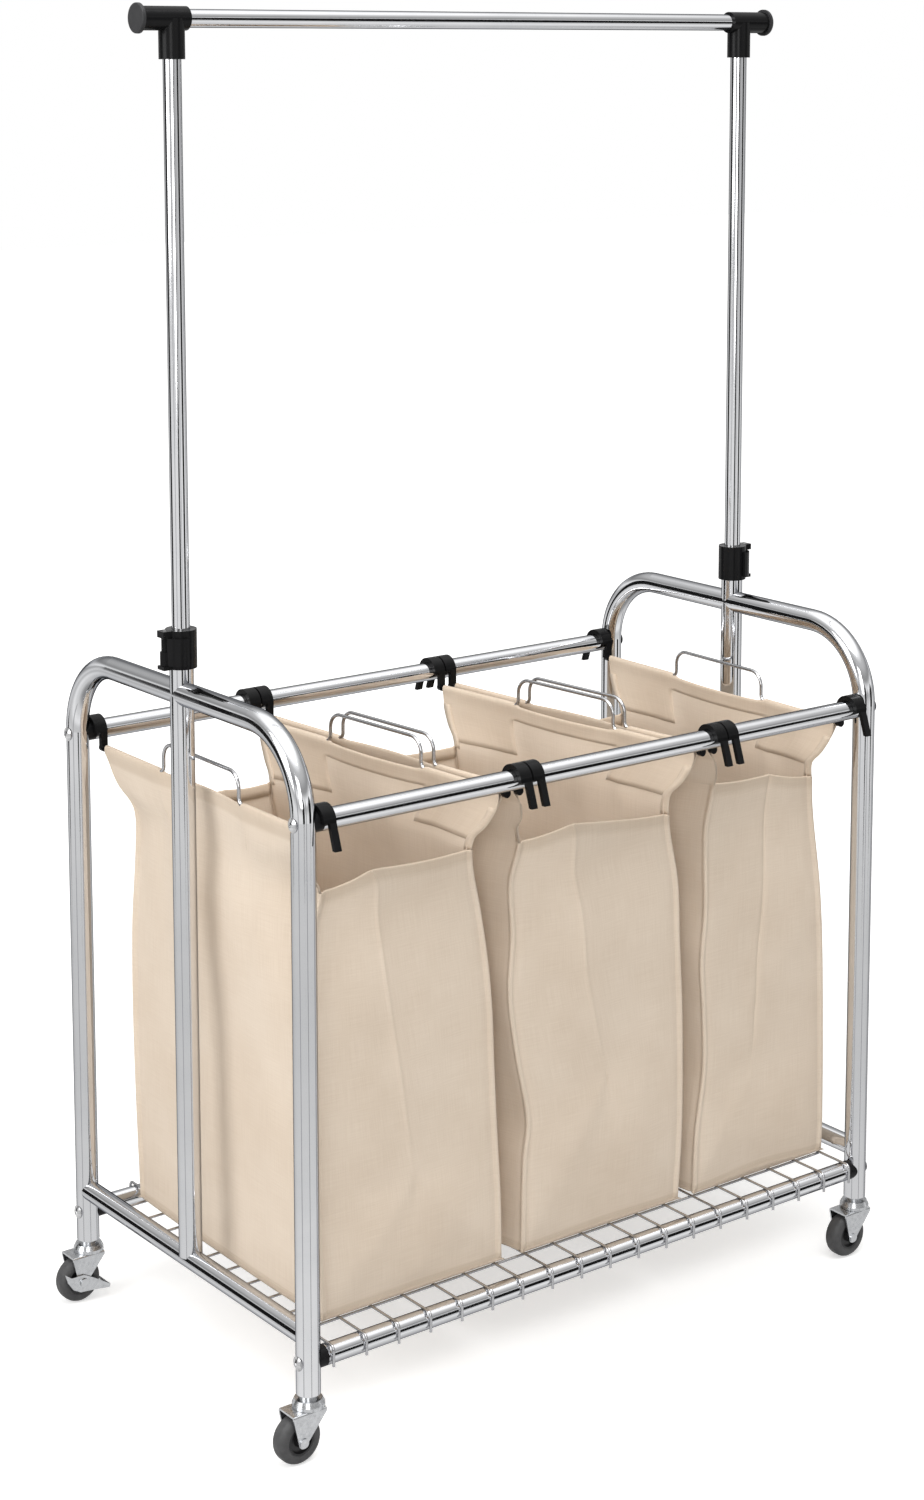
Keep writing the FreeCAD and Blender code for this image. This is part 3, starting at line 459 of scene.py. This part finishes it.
def side_point(bag, edge, share, z):
    """A point of a side panel; share runs from its front seam to its rear one."""
    x_front, y_front = seam(bag, "front", edge, z)
    x_rear, y_rear = seam(bag, "rear", edge, z)
    y = y_front + (y_rear - y_front) * share
    plane = side_plane(bag, edge, y, z)
    near = math.exp(-(((y - y_front) / DRAWN_REACH) ** 2))
    far = math.exp(-(((y_rear - y) / DRAWN_REACH) ** 2))
    from_front = (x_front - side_plane(bag, edge, y_front, z)) * near
    from_rear = (x_rear - side_plane(bag, edge, y_rear, z)) * far
    x = plane + from_front + from_rear
    inward = 1 if edge == 0 else -1
    hung = ease((ROD_Z - 12 - z) / 60)
    free = hung * ease((z - FOOT_Z) / 50) * math.sin(math.pi * share) ** 0.6
    fold = 0.0
    for i, (middle, width, depth, reach) in enumerate(FOLDS):
        lean = (ROD_Z - z) * 0.10 * math.copysign(1, math.sin(i * 2.1 + edge * 3 + BAGS.index(bag)))
        fade = math.exp(-((ROD_Z - z) / reach) ** 2)
        fold += depth * fade * math.exp(-(((y - middle - lean) / (width + 0.06 * (ROD_Z - z))) ** 2))
    belly = BELLY * math.sin(math.pi * ease((z - FOOT_Z) / (ROD_Z - FOOT_Z)))
    rough = 2.6 * ripple(bag, x, y, z, 85, 1 + edge) + 0.7 * ripple(bag, x, y, z, 26, 3 + edge)
    slack = 0.0
    if abs(y) < HANDLE_HALF:
        slack = HANDLE_SLACK * math.cos(math.pi / 2 * y / HANDLE_HALF) ** 0.7 * ease((z - 520) / 90)
    edge_gap = min(y - y_front, y_rear - y)
    x += inward * (free * (belly + fold + rough + 1.5) + slack - piping(edge_gap, z))
    return Vector((x, y, z))


def top_edge(bag, end, share):
    left, place, middle, right, _ = TOPS[bag][end]
    if share < place:
        t = share / place
        z = left + (middle - left) * t
    else:
        t = (share - place) / (1 - place)
        z = middle + (right - middle) * t
    return z - 2.2 * math.sin(math.pi * t)


def end_point(bag, end, share, z):
    """A point of the front or rear panel; share runs from left to right."""
    x_left, y = seam(bag, end, 0, z)
    x_right, _ = seam(bag, end, 1, z)
    _, place, middle, _, stand = TOPS[bag][end]
    part_z, part_share = PARTINGS[bag]
    width = x_right - x_left
    # the columns lean with the crease, and stay straight beside the seams
    t = max(0.0, (z - part_z) / (middle - part_z))
    ridge = part_share + (place - part_share) * t
    held = (share - SEAM_MARGIN) / (place - SEAM_MARGIN)
    if share > place:
        held = (1 - SEAM_MARGIN - share) / (1 - SEAM_MARGIN - place)
    share += (ridge - place) * max(0.0, held)
    x = x_left + width * share
    if z > part_z:
        height = stand * (0.35 + 0.65 * ease(t))
        rise = height * share / ridge if share < ridge else height * (1 - share) / (1 - ridge)
        rim = math.exp(-(((share - ridge) * width / FOLD_WIDTH) ** 2)) * ease(t * 5)
        rise += math.copysign(FOLD_RIM, height) * rim
    else:
        t = (z - FOOT_Z) / (part_z - FOOT_Z)
        left = part_share * t
        right = 1 - (1 - part_share) * t
        height = stand * 0.35 * ease(t) + 3.6 * math.sin(math.pi * min(1, t))
        if share < left:
            rise = height * share / max(left, 0.001)
        elif share > right:
            rise = height * (1 - share) / max(1 - right, 0.001)
        else:
            rise = height * (1 - 0.35 * math.sin(math.pi * (share - left) / max(right - left, 0.001)))
    free = math.sin(math.pi * share) ** 0.5 * ease((z - FOOT_Z) / 25)
    rough = 2.0 * ripple(bag, x, y, z, 80, 5) + 0.6 * ripple(bag, x, y, z, 24, 7)
    outward = -1 if end == "front" else 1
    gap = min(share, 1 - share) * width
    y += outward * (rise + free * rough + piping(gap, z) * ease((z - FOOT_Z) / 6))
    z += LIFTS[bag] * math.sin(math.pi * share) ** 2 * (1 - ease((z - FOOT_Z) / 70))
    return Vector((x, y, z))


def creased(shares, place, width):
    """The same number of shares and six more, some of them gathered along a crease."""
    bunch = [place + step / width for step in CREASE_COLUMNS]
    kept = sorted(shares, key=lambda share: abs(share - place))[3:]
    return sorted(kept + bunch)


def spread(length, step, tight=(0.8, 1.8, 3.2, 5.6, 8.0)):
    """Shares of a length: close together at both ends, then even."""
    count = max(2, round((length - 2 * tight[-1]) / step))
    inner = [tight[-1] + (length - 2 * tight[-1]) * i / count for i in range(count + 1)]
    places = [0.0, *tight[:-1], *inner, *[length - t for t in reversed(tight[:-1])], length]
    return [p / length for p in places]


CLOTH = 0.9
SEAM_LIP = 1.9
SHELL_FOOT = 1.6        # floor's seam to the shell's lowest row
PANEL_WIDTH = 225
PANEL_DEPTH = 370
# the floor's rows of vertices: how far in from its seam
FLOOR_INSETS = (-2.4, 1.5, 6, 14, 26, 42, 60, 80, 100)
FLOOR_HALF = (115.0, 187.0)
FLOOR_FLAT = 400        # where the floor lies in the flat pattern, below the panels
# a top hem's fold to the inside: inwards and upwards from the top edge
HEM_BAND = 12.0
HEM_FOLD = ((0.5, 0.75), (1.5, 0.7), (1.9, -0.3), (1.7, -5), (1.6, -HEM_BAND))
POCKET_FEET = (619.0, 610.0, 601.0, 593.0, 587.0)
POCKET_GAP = 0.55
EAR_BAND = 10.0
# the hem's outline round the rod: how far out from the panel, and height
HEM_LINE = (
    (0.3, 631.0), (1.2, 635.5), (2.4, 640.0), (2.9, 643.5), (2.6, 646.3), (1.4, 647.9), (0.0, 648.2),
    (-1.4, 647.9), (-2.6, 646.3), (-2.9, 643.5), (-2.4, 640.0), (-1.4, 635.5), (-0.9, 631.0),
    (-0.75, HEM_FOOT_Z),
)


class Cloth:
    """Vertices, faces, flat places and the painted-shade mask (set where the cloth is doubled) of one bag
    while it is sewn together.
    """

    def __init__(self):
        self.points = []
        self.flat = []
        self.double = []
        self.faces = []

    # the last value is 1.0 where the canvas colour is darkened as painted shade, 0.0 elsewhere
    def add(self, point, u, v, double=0.0):
        self.points.append(point)
        self.flat.append((u * MM, v * MM))
        self.double.append(double)
        return len(self.points) - 1

    def strip(self, first, second):
        """Quads between two rows of vertices."""
        for a, b, c, d in zip(first, first[1:], second[1:], second):
            face = list(dict.fromkeys((a, b, c, d)))
            if len(face) > 2:
                self.faces.append(face)


def sew_bag(bag):
    cloth = Cloth()
    even = spread(220, 6.5)
    end_shares = {end: creased(even, TOPS[bag][end][1], PANEL_WIDTH) for end in ENDS}
    side_shares = spread(PANEL_DEPTH, 6.5)
    row_shares = spread(455, 7.5)

    def column(kind, name, share):
        """Height of the lower shell's top at this column, and its point at a height."""
        if kind == "end":
            return top_edge(bag, name, share), lambda z: end_point(bag, name, share, z)
        front_top = top_edge(bag, "front", name)
        rear_top = top_edge(bag, "rear", name)
        return front_top + (rear_top - front_top) * share, lambda z: side_point(bag, name, share, z)

    def lip(edge, end):
        """The seam's lip outside a corner."""
        out = Vector((0.7 if edge else -0.7, -0.7 if end == "front" else 0.7, 0)) * SEAM_LIP

        def point(z):
            x, y = seam(bag, end, edge, z)
            return Vector((x, y, z)) + out

        return top_edge(bag, end, edge), point

    ring = []
    ring += [column("end", "front", s) for s in end_shares["front"]] + [lip(1, "front")]
    ring += [column("side", 1, s) for s in side_shares] + [lip(1, "rear")]
    ring += [column("end", "rear", s) for s in reversed(end_shares["rear"])] + [lip(0, "rear")]
    ring += [column("side", 0, s) for s in reversed(side_shares)] + [lip(0, "front")]
    count_end = len(end_shares["front"])
    count_side = len(side_shares)
    rear_start = count_end + count_side + 2
    columns_of = {
        "front": range(count_end),
        1: range(count_end + 1, count_end + 1 + count_side),
        "rear": range(rear_start, rear_start + count_end),
        0: range(rear_start + count_end + 1, rear_start + count_end + 1 + count_side),
    }
    along = [0.0]
    for (_, here), (_, there) in zip(ring, ring[1:]):
        along.append(along[-1] + (here(300) - there(300)).length)

    # the shell, from the floor's seam up to the front and rear top edges
    rows = []
    for row_share in row_shares:
        row = []
        for i, (top, point) in enumerate(ring):
            z = FOOT_Z + SHELL_FOOT + (top - FOOT_Z - SHELL_FOOT) * row_share
            place = point(z)
            in_end = i in columns_of["front"] or i in columns_of["rear"]
            # painted shade on the end panels' top hem band and along the foot seam
            hem_shade = 1.0 if in_end and top - z < HEM_BAND else 0.0
            seam_shade = 1.0 if row_share * (top - FOOT_Z) < 7 else 0.0
            row.append(cloth.add(place, along[i], z, max(hem_shade, seam_shade)))
        if rows:
            cloth.strip(rows[-1], row)
            cloth.strip([rows[-1][-1], rows[-1][0]], [row[-1], row[0]])
        rows.append(row)

    # the floor, sewn to the shell with a lip all round, resting on the wires
    middle = sum((cloth.points[i] for i in rows[0]), Vector()) / len(rows[0])
    last = rows[0]
    for k, inset in enumerate(FLOOR_INSETS):
        row = []
        for i in rows[0]:
            place = cloth.points[i].copy()
            away = place - middle
            half_x, half_y = FLOOR_HALF
            place.x = middle.x + away.x * ((half_x - inset) / half_x)
            place.y = middle.y + away.y * ((half_y - inset) / half_y)
            place.z = FOOT_Z + (0.5 if k == 0 else 0.0)
            if inset > 20:
                place.z += 0.9 * abs(ripple(bag, place.x, place.y, 0, 45, 9)) * ease(inset / 60)
            # painted shade along the floor's seam
            row.append(cloth.add(place, place.x, place.y - FLOOR_FLAT, 1.0 if inset < 7 else 0.0))
        cloth.strip(row, last)
        cloth.strip([row[-1], row[0]], [last[-1], last[0]])
        last = row
    hub = cloth.add(Vector((middle.x, middle.y, FOOT_Z + 0.4)), middle.x, middle.y - FLOOR_FLAT)
    for a, b in zip(last, last[1:] + last[:1]):
        cloth.faces.append([b, a, hub])

    # top hems of the front and rear panels, folded to the inside
    for end in ENDS:
        columns = columns_of[end]
        inward = 1 if end == "front" else -1
        before = [rows[-1][i] for i in columns]
        for step_in, step_up in HEM_FOLD:
            row = []
            for i in columns:
                top, point = ring[i]
                place = point(top + min(0.0, step_up))
                place.z = top + step_up
                place.y += inward * step_in
                row.append(cloth.add(place, along[i], top + 4 - step_up, 1.0))
            cloth.strip(before, row)
            before = row

    # side panels go on up to the rods, round them, and down inside
    ups = [k / 11 for k in range(1, 12)]
    for edge in (1, 0):
        columns = columns_of[edge]
        shares = side_shares if edge == 1 else list(reversed(side_shares))
        out = 1 if edge == 1 else -1
        before = [rows[-1][i] for i in columns]
        grid = [before]
        for up in ups:
            row = []
            for i, share in zip(columns, shares):
                base = ring[i][0]
                z = base + (HEM_FOOT_Z - base) * up
                place = side_point(bag, edge, share, z)
                row.append(cloth.add(place, along[i], z))
            cloth.strip(before, row)
            before = row
            grid.append(row)
        flat_v = HEM_FOOT_Z
        old = None
        for off, z in HEM_LINE:
            row = []
            for i, share in zip(columns, shares):
                low = side_point(bag, edge, share, min(z, 640.0))
                held = ease((abs(low.y) - (HANDLE_HALF - 7)) / 14)
                slack = 0.35 + 0.65 * held
                rise = (z - 640) * (0.55 + 0.45 * held) + 640 if z > 640 else z
                place = Vector((low.x + out * off * slack, low.y, rise))
                row.append(cloth.add(place, along[i], flat_v, 1.0))
            if old:
                flat_v += math.dist(old, (off, z))
            old = (off, z)
            cloth.strip(before, row)
            before = row
        # each hem goes on down inside as a rod pocket, from the handle's foot to the ear
        for pocket in (-1, 1):
            held = [k for k, index in enumerate(before) if pocket * cloth.points[index].y > HANDLE_HALF + 4]
            upper = [before[k] for k in held]
            for z in POCKET_FEET:
                row = []
                for k in held:
                    place = side_point(bag, edge, shares[k], z)
                    place.x -= out * POCKET_GAP
                    u, v = cloth.flat[before[k]]
                    row.append(cloth.add(place, u / MM, v / MM + HEM_FOOT_Z - z, 1.0))
                cloth.strip(upper, row)
                upper = row
        # the ears' slanting edges are folded in and sewn down
        for last_column, toward in ((0, 1), (-1, -1)):
            edge_line = [row[last_column] for row in grid]
            first_fold = []
            second_fold = []
            for index in edge_line:
                place = cloth.points[index]
                share = shares[last_column]
                step = EAR_BAND / PANEL_DEPTH * (1 if share < 0.5 else -1)
                inner = side_point(bag, edge, share + step, place.z)
                inner.x -= out * 1.5
                turn = place.copy()
                turn.x -= out * 1.5
                u, v = cloth.flat[index]
                first_fold.append(cloth.add(turn, u / MM - toward * 1.5, v / MM, 1.0))
                second_fold.append(cloth.add(inner, u / MM - toward * 11, v / MM, 1.0))
            if last_column == 0:
                cloth.strip(first_fold, edge_line)
                cloth.strip(second_fold, first_fold)
            else:
                cloth.strip(edge_line, first_fold)
                cloth.strip(first_fold, second_fold)
    return cloth


def cloth_piece(name, cloth):
    mesh = bpy.data.meshes.new(name)
    mesh.from_pydata([p * MM for p in cloth.points], [], cloth.faces)
    layer = mesh.uv_layers.new(name="cut")
    for loop in mesh.loops:
        layer.data[loop.index].uv = cloth.flat[loop.vertex_index]
    # mask of the painted shade that darkens the canvas colour
    mask = mesh.attributes.new("doubled_painted_shade", "FLOAT", "POINT")
    for i, value in enumerate(cloth.double):
        mask.data[i].value = value
    piece = bpy.data.objects.new(name, mesh)
    bpy.context.scene.collection.objects.link(piece)
    for polygon in mesh.polygons:
        polygon.use_smooth = True
    mesh.materials.append(canvas)
    return piece


STITCH = (1.35, 0.32, 0.3)
STITCH_PITCH = 3.6


def sew_line(points, outward, threads):
    """Lay stitches along a line of points; threads collects their vertices and faces."""
    spots = []
    walked = 0.0
    due = STITCH_PITCH / 2
    for here, there in zip(points, points[1:]):
        gap = (there - here).length
        while gap > 0 and due <= walked + gap:
            spots.append((here.lerp(there, (due - walked) / gap), (there - here).normalized()))
            due += STITCH_PITCH
        walked += gap
    half, wide, high = STITCH
    for spot, run in spots:
        across = run.cross(outward).normalized()
        lift = across.cross(run).normalized()
        if lift.dot(outward) < 0:
            lift = -lift
            across = -across
        verts, faces = threads
        base = len(verts)
        rings = ((-half, 0.35), (-half * 0.6, 1.0), (half * 0.6, 1.0), (half, 0.35))
        for step, size in rings:
            for side, up in ((-1, -0.3), (-0.6, 0.8), (0.6, 0.8), (1, -0.3)):
                raised = lift * (up * high * size - 0.1)
                verts.append(spot + run * step + across * side * wide * size + raised)
        for k in range(3):
            a = base + 4 * k
            for j in range(3):
                faces.append((a + j, a + j + 1, a + j + 5, a + j + 4))
            faces.append((a + 3, a, a + 4, a + 7))
        faces.append((base, base + 3, base + 2, base + 1))
        faces.append((base + 12, base + 13, base + 14, base + 15))


def stitch_bag(bag):
    verts = []
    faces = []
    threads = (verts, faces)
    skin = CLOTH / 2
    for end, outward in (("front", -1), ("rear", 1)):
        out = Vector((0, outward, 0))
        line = []
        for k in range(2, 99):
            share = k / 100
            z = top_edge(bag, end, share) - HEM_BAND + 1.5
            line.append(end_point(bag, end, share, z) + out * skin)
        sew_line(line, out, threads)
        for edge in (0, 1):
            share = 0.022 if edge == 0 else 0.978
            foot = FOOT_Z + 5
            top = top_edge(bag, end, share) - 3
            line = [end_point(bag, end, share, foot + (top - foot) * k / 90) + out * skin for k in range(91)]
            sew_line(line, out, threads)
        line = [end_point(bag, end, 0.02 + 0.96 * k / 60, FOOT_Z + 6) + out * skin for k in range(61)]
        sew_line(line, out, threads)
    for edge, outward in ((0, -1), (1, 1)):
        out = Vector((outward, 0, 0))
        pocket_foot = POCKET_FEET[-1] + 2
        rows = ((pocket_foot, 1, 24), (pocket_foot, 76, 99), (HEM_FOOT_Z + 2, 30, 70), (FOOT_Z + 6, 1, 99))
        for height, first, last in rows:
            line = []
            for k in range(first, last + 1):
                line.append(side_point(bag, edge, k / 100, height) + out * (skin + 0.1))
            sew_line(line, out, threads)
        for middle in (-87, 87):
            share = 0.5 + middle / (2 * 200)
            line = [side_point(bag, edge, share, 634 - 44 * k / 30) + out * skin for k in range(31)]
            sew_line(line, out, threads)
    mesh = bpy.data.meshes.new(f"bag_{bag}_stitching")
    mesh.from_pydata([v * MM for v in verts], [], faces)
    piece = bpy.data.objects.new(mesh.name, mesh)
    bpy.context.scene.collection.objects.link(piece)
    mesh.materials.append(thread)
    return piece


for bag in BAGS:
    shell = cloth_piece(f"bag_{bag}_cloth", sew_bag(bag))
    bpy.context.view_layer.objects.active = shell
    walls = shell.modifiers.new("cloth", "SOLIDIFY")
    walls.thickness = CLOTH * MM
    walls.offset = 0
    bpy.ops.object.modifier_apply(modifier=walls.name)
    stitching = stitch_bag(bag)
    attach(shell, f"bag_{bag}_set")
    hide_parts(f"bag_{bag}")
    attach(stitching, f"bag_{bag}_set")


# ---- Floor, light and camera ----
# A plain white floor and soft studio light: a bright room, and large lamps at the left, overhead
# and in front. Dark strips stand round the room, seen only as streaks in the chrome.
bpy.ops.object.select_all(action="DESELECT")
bpy.ops.mesh.primitive_plane_add(size=30, location=(0, 0, 0))
floor = bpy.context.object
floor.name = "studio_floor"
floor.visible_glossy = False
white, tree, shader = new_material("white_floor", (0.86, 0.86, 0.86))
shader.inputs["Roughness"].default_value = 0.9
shader.inputs["Specular IOR Level"].default_value = 0.0
shader.inputs["Emission Color"].default_value = (1, 1, 1, 1)
place = tree.nodes.new("ShaderNodeTexCoord")
away = tree.nodes.new("ShaderNodeVectorMath")
away.operation = "LENGTH"
glow = tree.nodes.new("ShaderNodeMapRange")
glow.interpolation_type = "SMOOTHSTEP"
glow.inputs["From Min"].default_value = 0.3
glow.inputs["From Max"].default_value = 2.4
glow.inputs["To Min"].default_value = 0.50
glow.inputs["To Max"].default_value = 0.80
tree.links.new(place.outputs["Object"], away.inputs[0])
tree.links.new(away.outputs["Value"], glow.inputs["Value"])
tree.links.new(glow.outputs["Result"], shader.inputs["Emission Strength"])
dull = tree.nodes.new("ShaderNodeBsdfDiffuse")
dull.inputs["Color"].default_value = (0.62, 0.62, 0.62, 1)
which = tree.nodes.new("ShaderNodeLightPath")
either = tree.nodes.new("ShaderNodeMixShader")
tree.links.new(which.outputs["Is Camera Ray"], either.inputs["Fac"])
tree.links.new(dull.outputs["BSDF"], either.inputs[1])
tree.links.new(shader.outputs["BSDF"], either.inputs[2])
tree.links.new(either.outputs["Shader"], tree.nodes["Material Output"].inputs["Surface"])
floor.data.materials.append(white)

world = bpy.data.worlds.new("studio")
bpy.context.scene.world = world
world.use_nodes = True
tree = world.node_tree
room = tree.nodes["Background"]
room.inputs["Strength"].default_value = 1.0
add = tree.nodes.new
link = tree.links.new


def step(kind, first, second=None):
    node = add("ShaderNodeMath")
    node.operation = kind
    for socket, value in zip(node.inputs, (first, second)):
        if isinstance(value, (int, float)):
            socket.default_value = value
        elif value is not None:
            link(value, socket)
    return node.outputs[0]


place = add("ShaderNodeTexCoord")
axes = add("ShaderNodeSeparateXYZ")
link(place.outputs["Generated"], axes.inputs["Vector"])
height = add("ShaderNodeValToRGB")
height.color_ramp.interpolation = "EASE"
# share of the way from straight down to straight up, and brightness
LEVELS = (
    (0.0, 0.30), (0.12, 0.75), (0.24, 0.95), (0.33, 0.66), (0.41, 0.90),
    (0.50, 0.55), (0.56, 1.05), (0.66, 0.34), (0.80, 0.60), (0.92, 1.4),
)
ramp = height.color_ramp.elements
while len(ramp) < len(LEVELS):
    ramp.new(0.5)
for stop, (share, value) in zip(ramp, LEVELS):
    stop.position = share
    stop.color = (value, value, value, 1)
link(step("ADD", step("MULTIPLY", axes.outputs["Z"], 0.5), 0.5), height.inputs["Fac"])
bright = height.outputs["Color"]
squares = step("ADD", step("POWER", axes.outputs["X"], 2), step("POWER", axes.outputs["Y"], 2))
flat_length = step("MAXIMUM", step("SQRT", squares), 0.001)
# dark strips: the way they stand in, half width in degrees, how dark, lowest and highest share
STRIPS = (
    (-53, 13, 0.01, 0.350, 0.60),
    (-114, 10, 0.01, 0.345, 0.62),
    (-92, 4, 0.30, 0.10, 0.62),
    (-165, 5, 0.40, 0.10, 0.70),
    (136, 16, 0.01, 0.345, 0.62),
    (53, 22, 0.08, 0.20, 0.58),
    (10, 5, 0.04, 0.350, 0.60),
    (88, 5, 0.04, 0.350, 0.60),
    (-15, 7, 0.35, 0.10, 0.80),
)
# how softly a strip ends: shares at its foot and head, and degrees at its sides
FOOT_FADE = 0.045
HEAD_FADE = 0.06
SIDE_FADE = 2.5
for way, half, dark, low, high in STRIPS:
    x, y = math.cos(math.radians(way)), math.sin(math.radians(way))
    facing = step("ADD", step("MULTIPLY", axes.outputs["X"], x), step("MULTIPLY", axes.outputs["Y"], y))
    turn = step("ARCCOSINE", step("MINIMUM", step("DIVIDE", facing, flat_length), 1.0))
    share = step("ADD", step("MULTIPLY", axes.outputs["Z"], 0.5), 0.5)
    level = add("ShaderNodeMapRange")
    level.inputs["From Min"].default_value = low
    level.inputs["From Max"].default_value = low + FOOT_FADE
    link(share, level.inputs["Value"])
    roof = add("ShaderNodeMapRange")
    roof.inputs["From Min"].default_value = high
    roof.inputs["From Max"].default_value = high - HEAD_FADE
    link(share, roof.inputs["Value"])
    taper = step("MULTIPLY", level.outputs["Result"], roof.outputs["Result"])
    edge = step("SUBTRACT", step("MULTIPLY", taper, math.radians(half)), turn)
    mask = add("ShaderNodeMapRange")
    mask.inputs["From Min"].default_value = 0.0
    mask.inputs["From Max"].default_value = math.radians(SIDE_FADE)
    link(edge, mask.inputs["Value"])
    blend = add("ShaderNodeMix")
    blend.data_type = "RGBA"
    link(mask.outputs["Result"], blend.inputs["Factor"])
    link(bright, blend.inputs["A"])
    blend.inputs["B"].default_value = (dark, dark, dark * 1.03, 1)
    bright = blend.outputs["Result"]
path = add("ShaderNodeLightPath")
mirror = add("ShaderNodeMix")
mirror.data_type = "RGBA"
link(path.outputs["Is Glossy Ray"], mirror.inputs["Factor"])
mirror.inputs["A"].default_value = (0.50, 0.495, 0.48, 1)
link(bright, mirror.inputs["B"])
seen = add("ShaderNodeMix")
seen.data_type = "RGBA"
link(path.outputs["Is Camera Ray"], seen.inputs["Factor"])
link(mirror.outputs["Result"], seen.inputs["A"])
seen.inputs["B"].default_value = (1, 1, 1, 1)
link(seen.outputs["Result"], room.inputs["Color"])


def lamp(name, size, power, location, aim):
    bpy.ops.object.light_add(type="AREA", location=location)
    light = bpy.context.object
    light.name = name
    light.data.shape = "RECTANGLE"
    light.data.size, light.data.size_y = size
    light.data.energy = power
    light.rotation_euler = (Vector(aim) - Vector(location)).to_track_quat("-Z", "Y").to_euler()


lamp("side_lamp", (1.6, 1.8), 34, (-3.0, 0.2, 1.8), (0, 0, 0.45))
lamp("top_lamp", (2.2, 1.8), 60, (-0.5, -0.9, 3.3), (0, 0, 0.4))
lamp("front_lamp", (1.2, 1.8), 22, (-2.3, -2.7, 1.5), (0, 0, 0.4))

CAMERA_PLACE = (-1.8115, -2.3555, 1.4137)
CAMERA_WAY = -37.22
CAMERA_DIP = 7.81
CAMERA_ROLL = -0.07
CAMERA_LENS = 64.36
CAMERA_SENSOR = 36
CAMERA_SHIFT = -0.22
way, dip = math.radians(CAMERA_WAY), math.radians(CAMERA_DIP)
back = Vector((math.sin(way) * math.cos(dip), -math.cos(way) * math.cos(dip), math.sin(dip)))
bpy.ops.object.camera_add(location=CAMERA_PLACE)
camera = bpy.context.object
camera.rotation_mode = "QUATERNION"
level = (-back).to_track_quat("-Z", "Y")
camera.rotation_quaternion = level @ Euler((0, 0, math.radians(CAMERA_ROLL))).to_quaternion()
camera.data.sensor_width = CAMERA_SENSOR
camera.data.lens = CAMERA_LENS
camera.data.shift_y = CAMERA_SHIFT
bpy.context.scene.camera = camera
bpy.context.scene.view_settings.view_transform = "Standard"
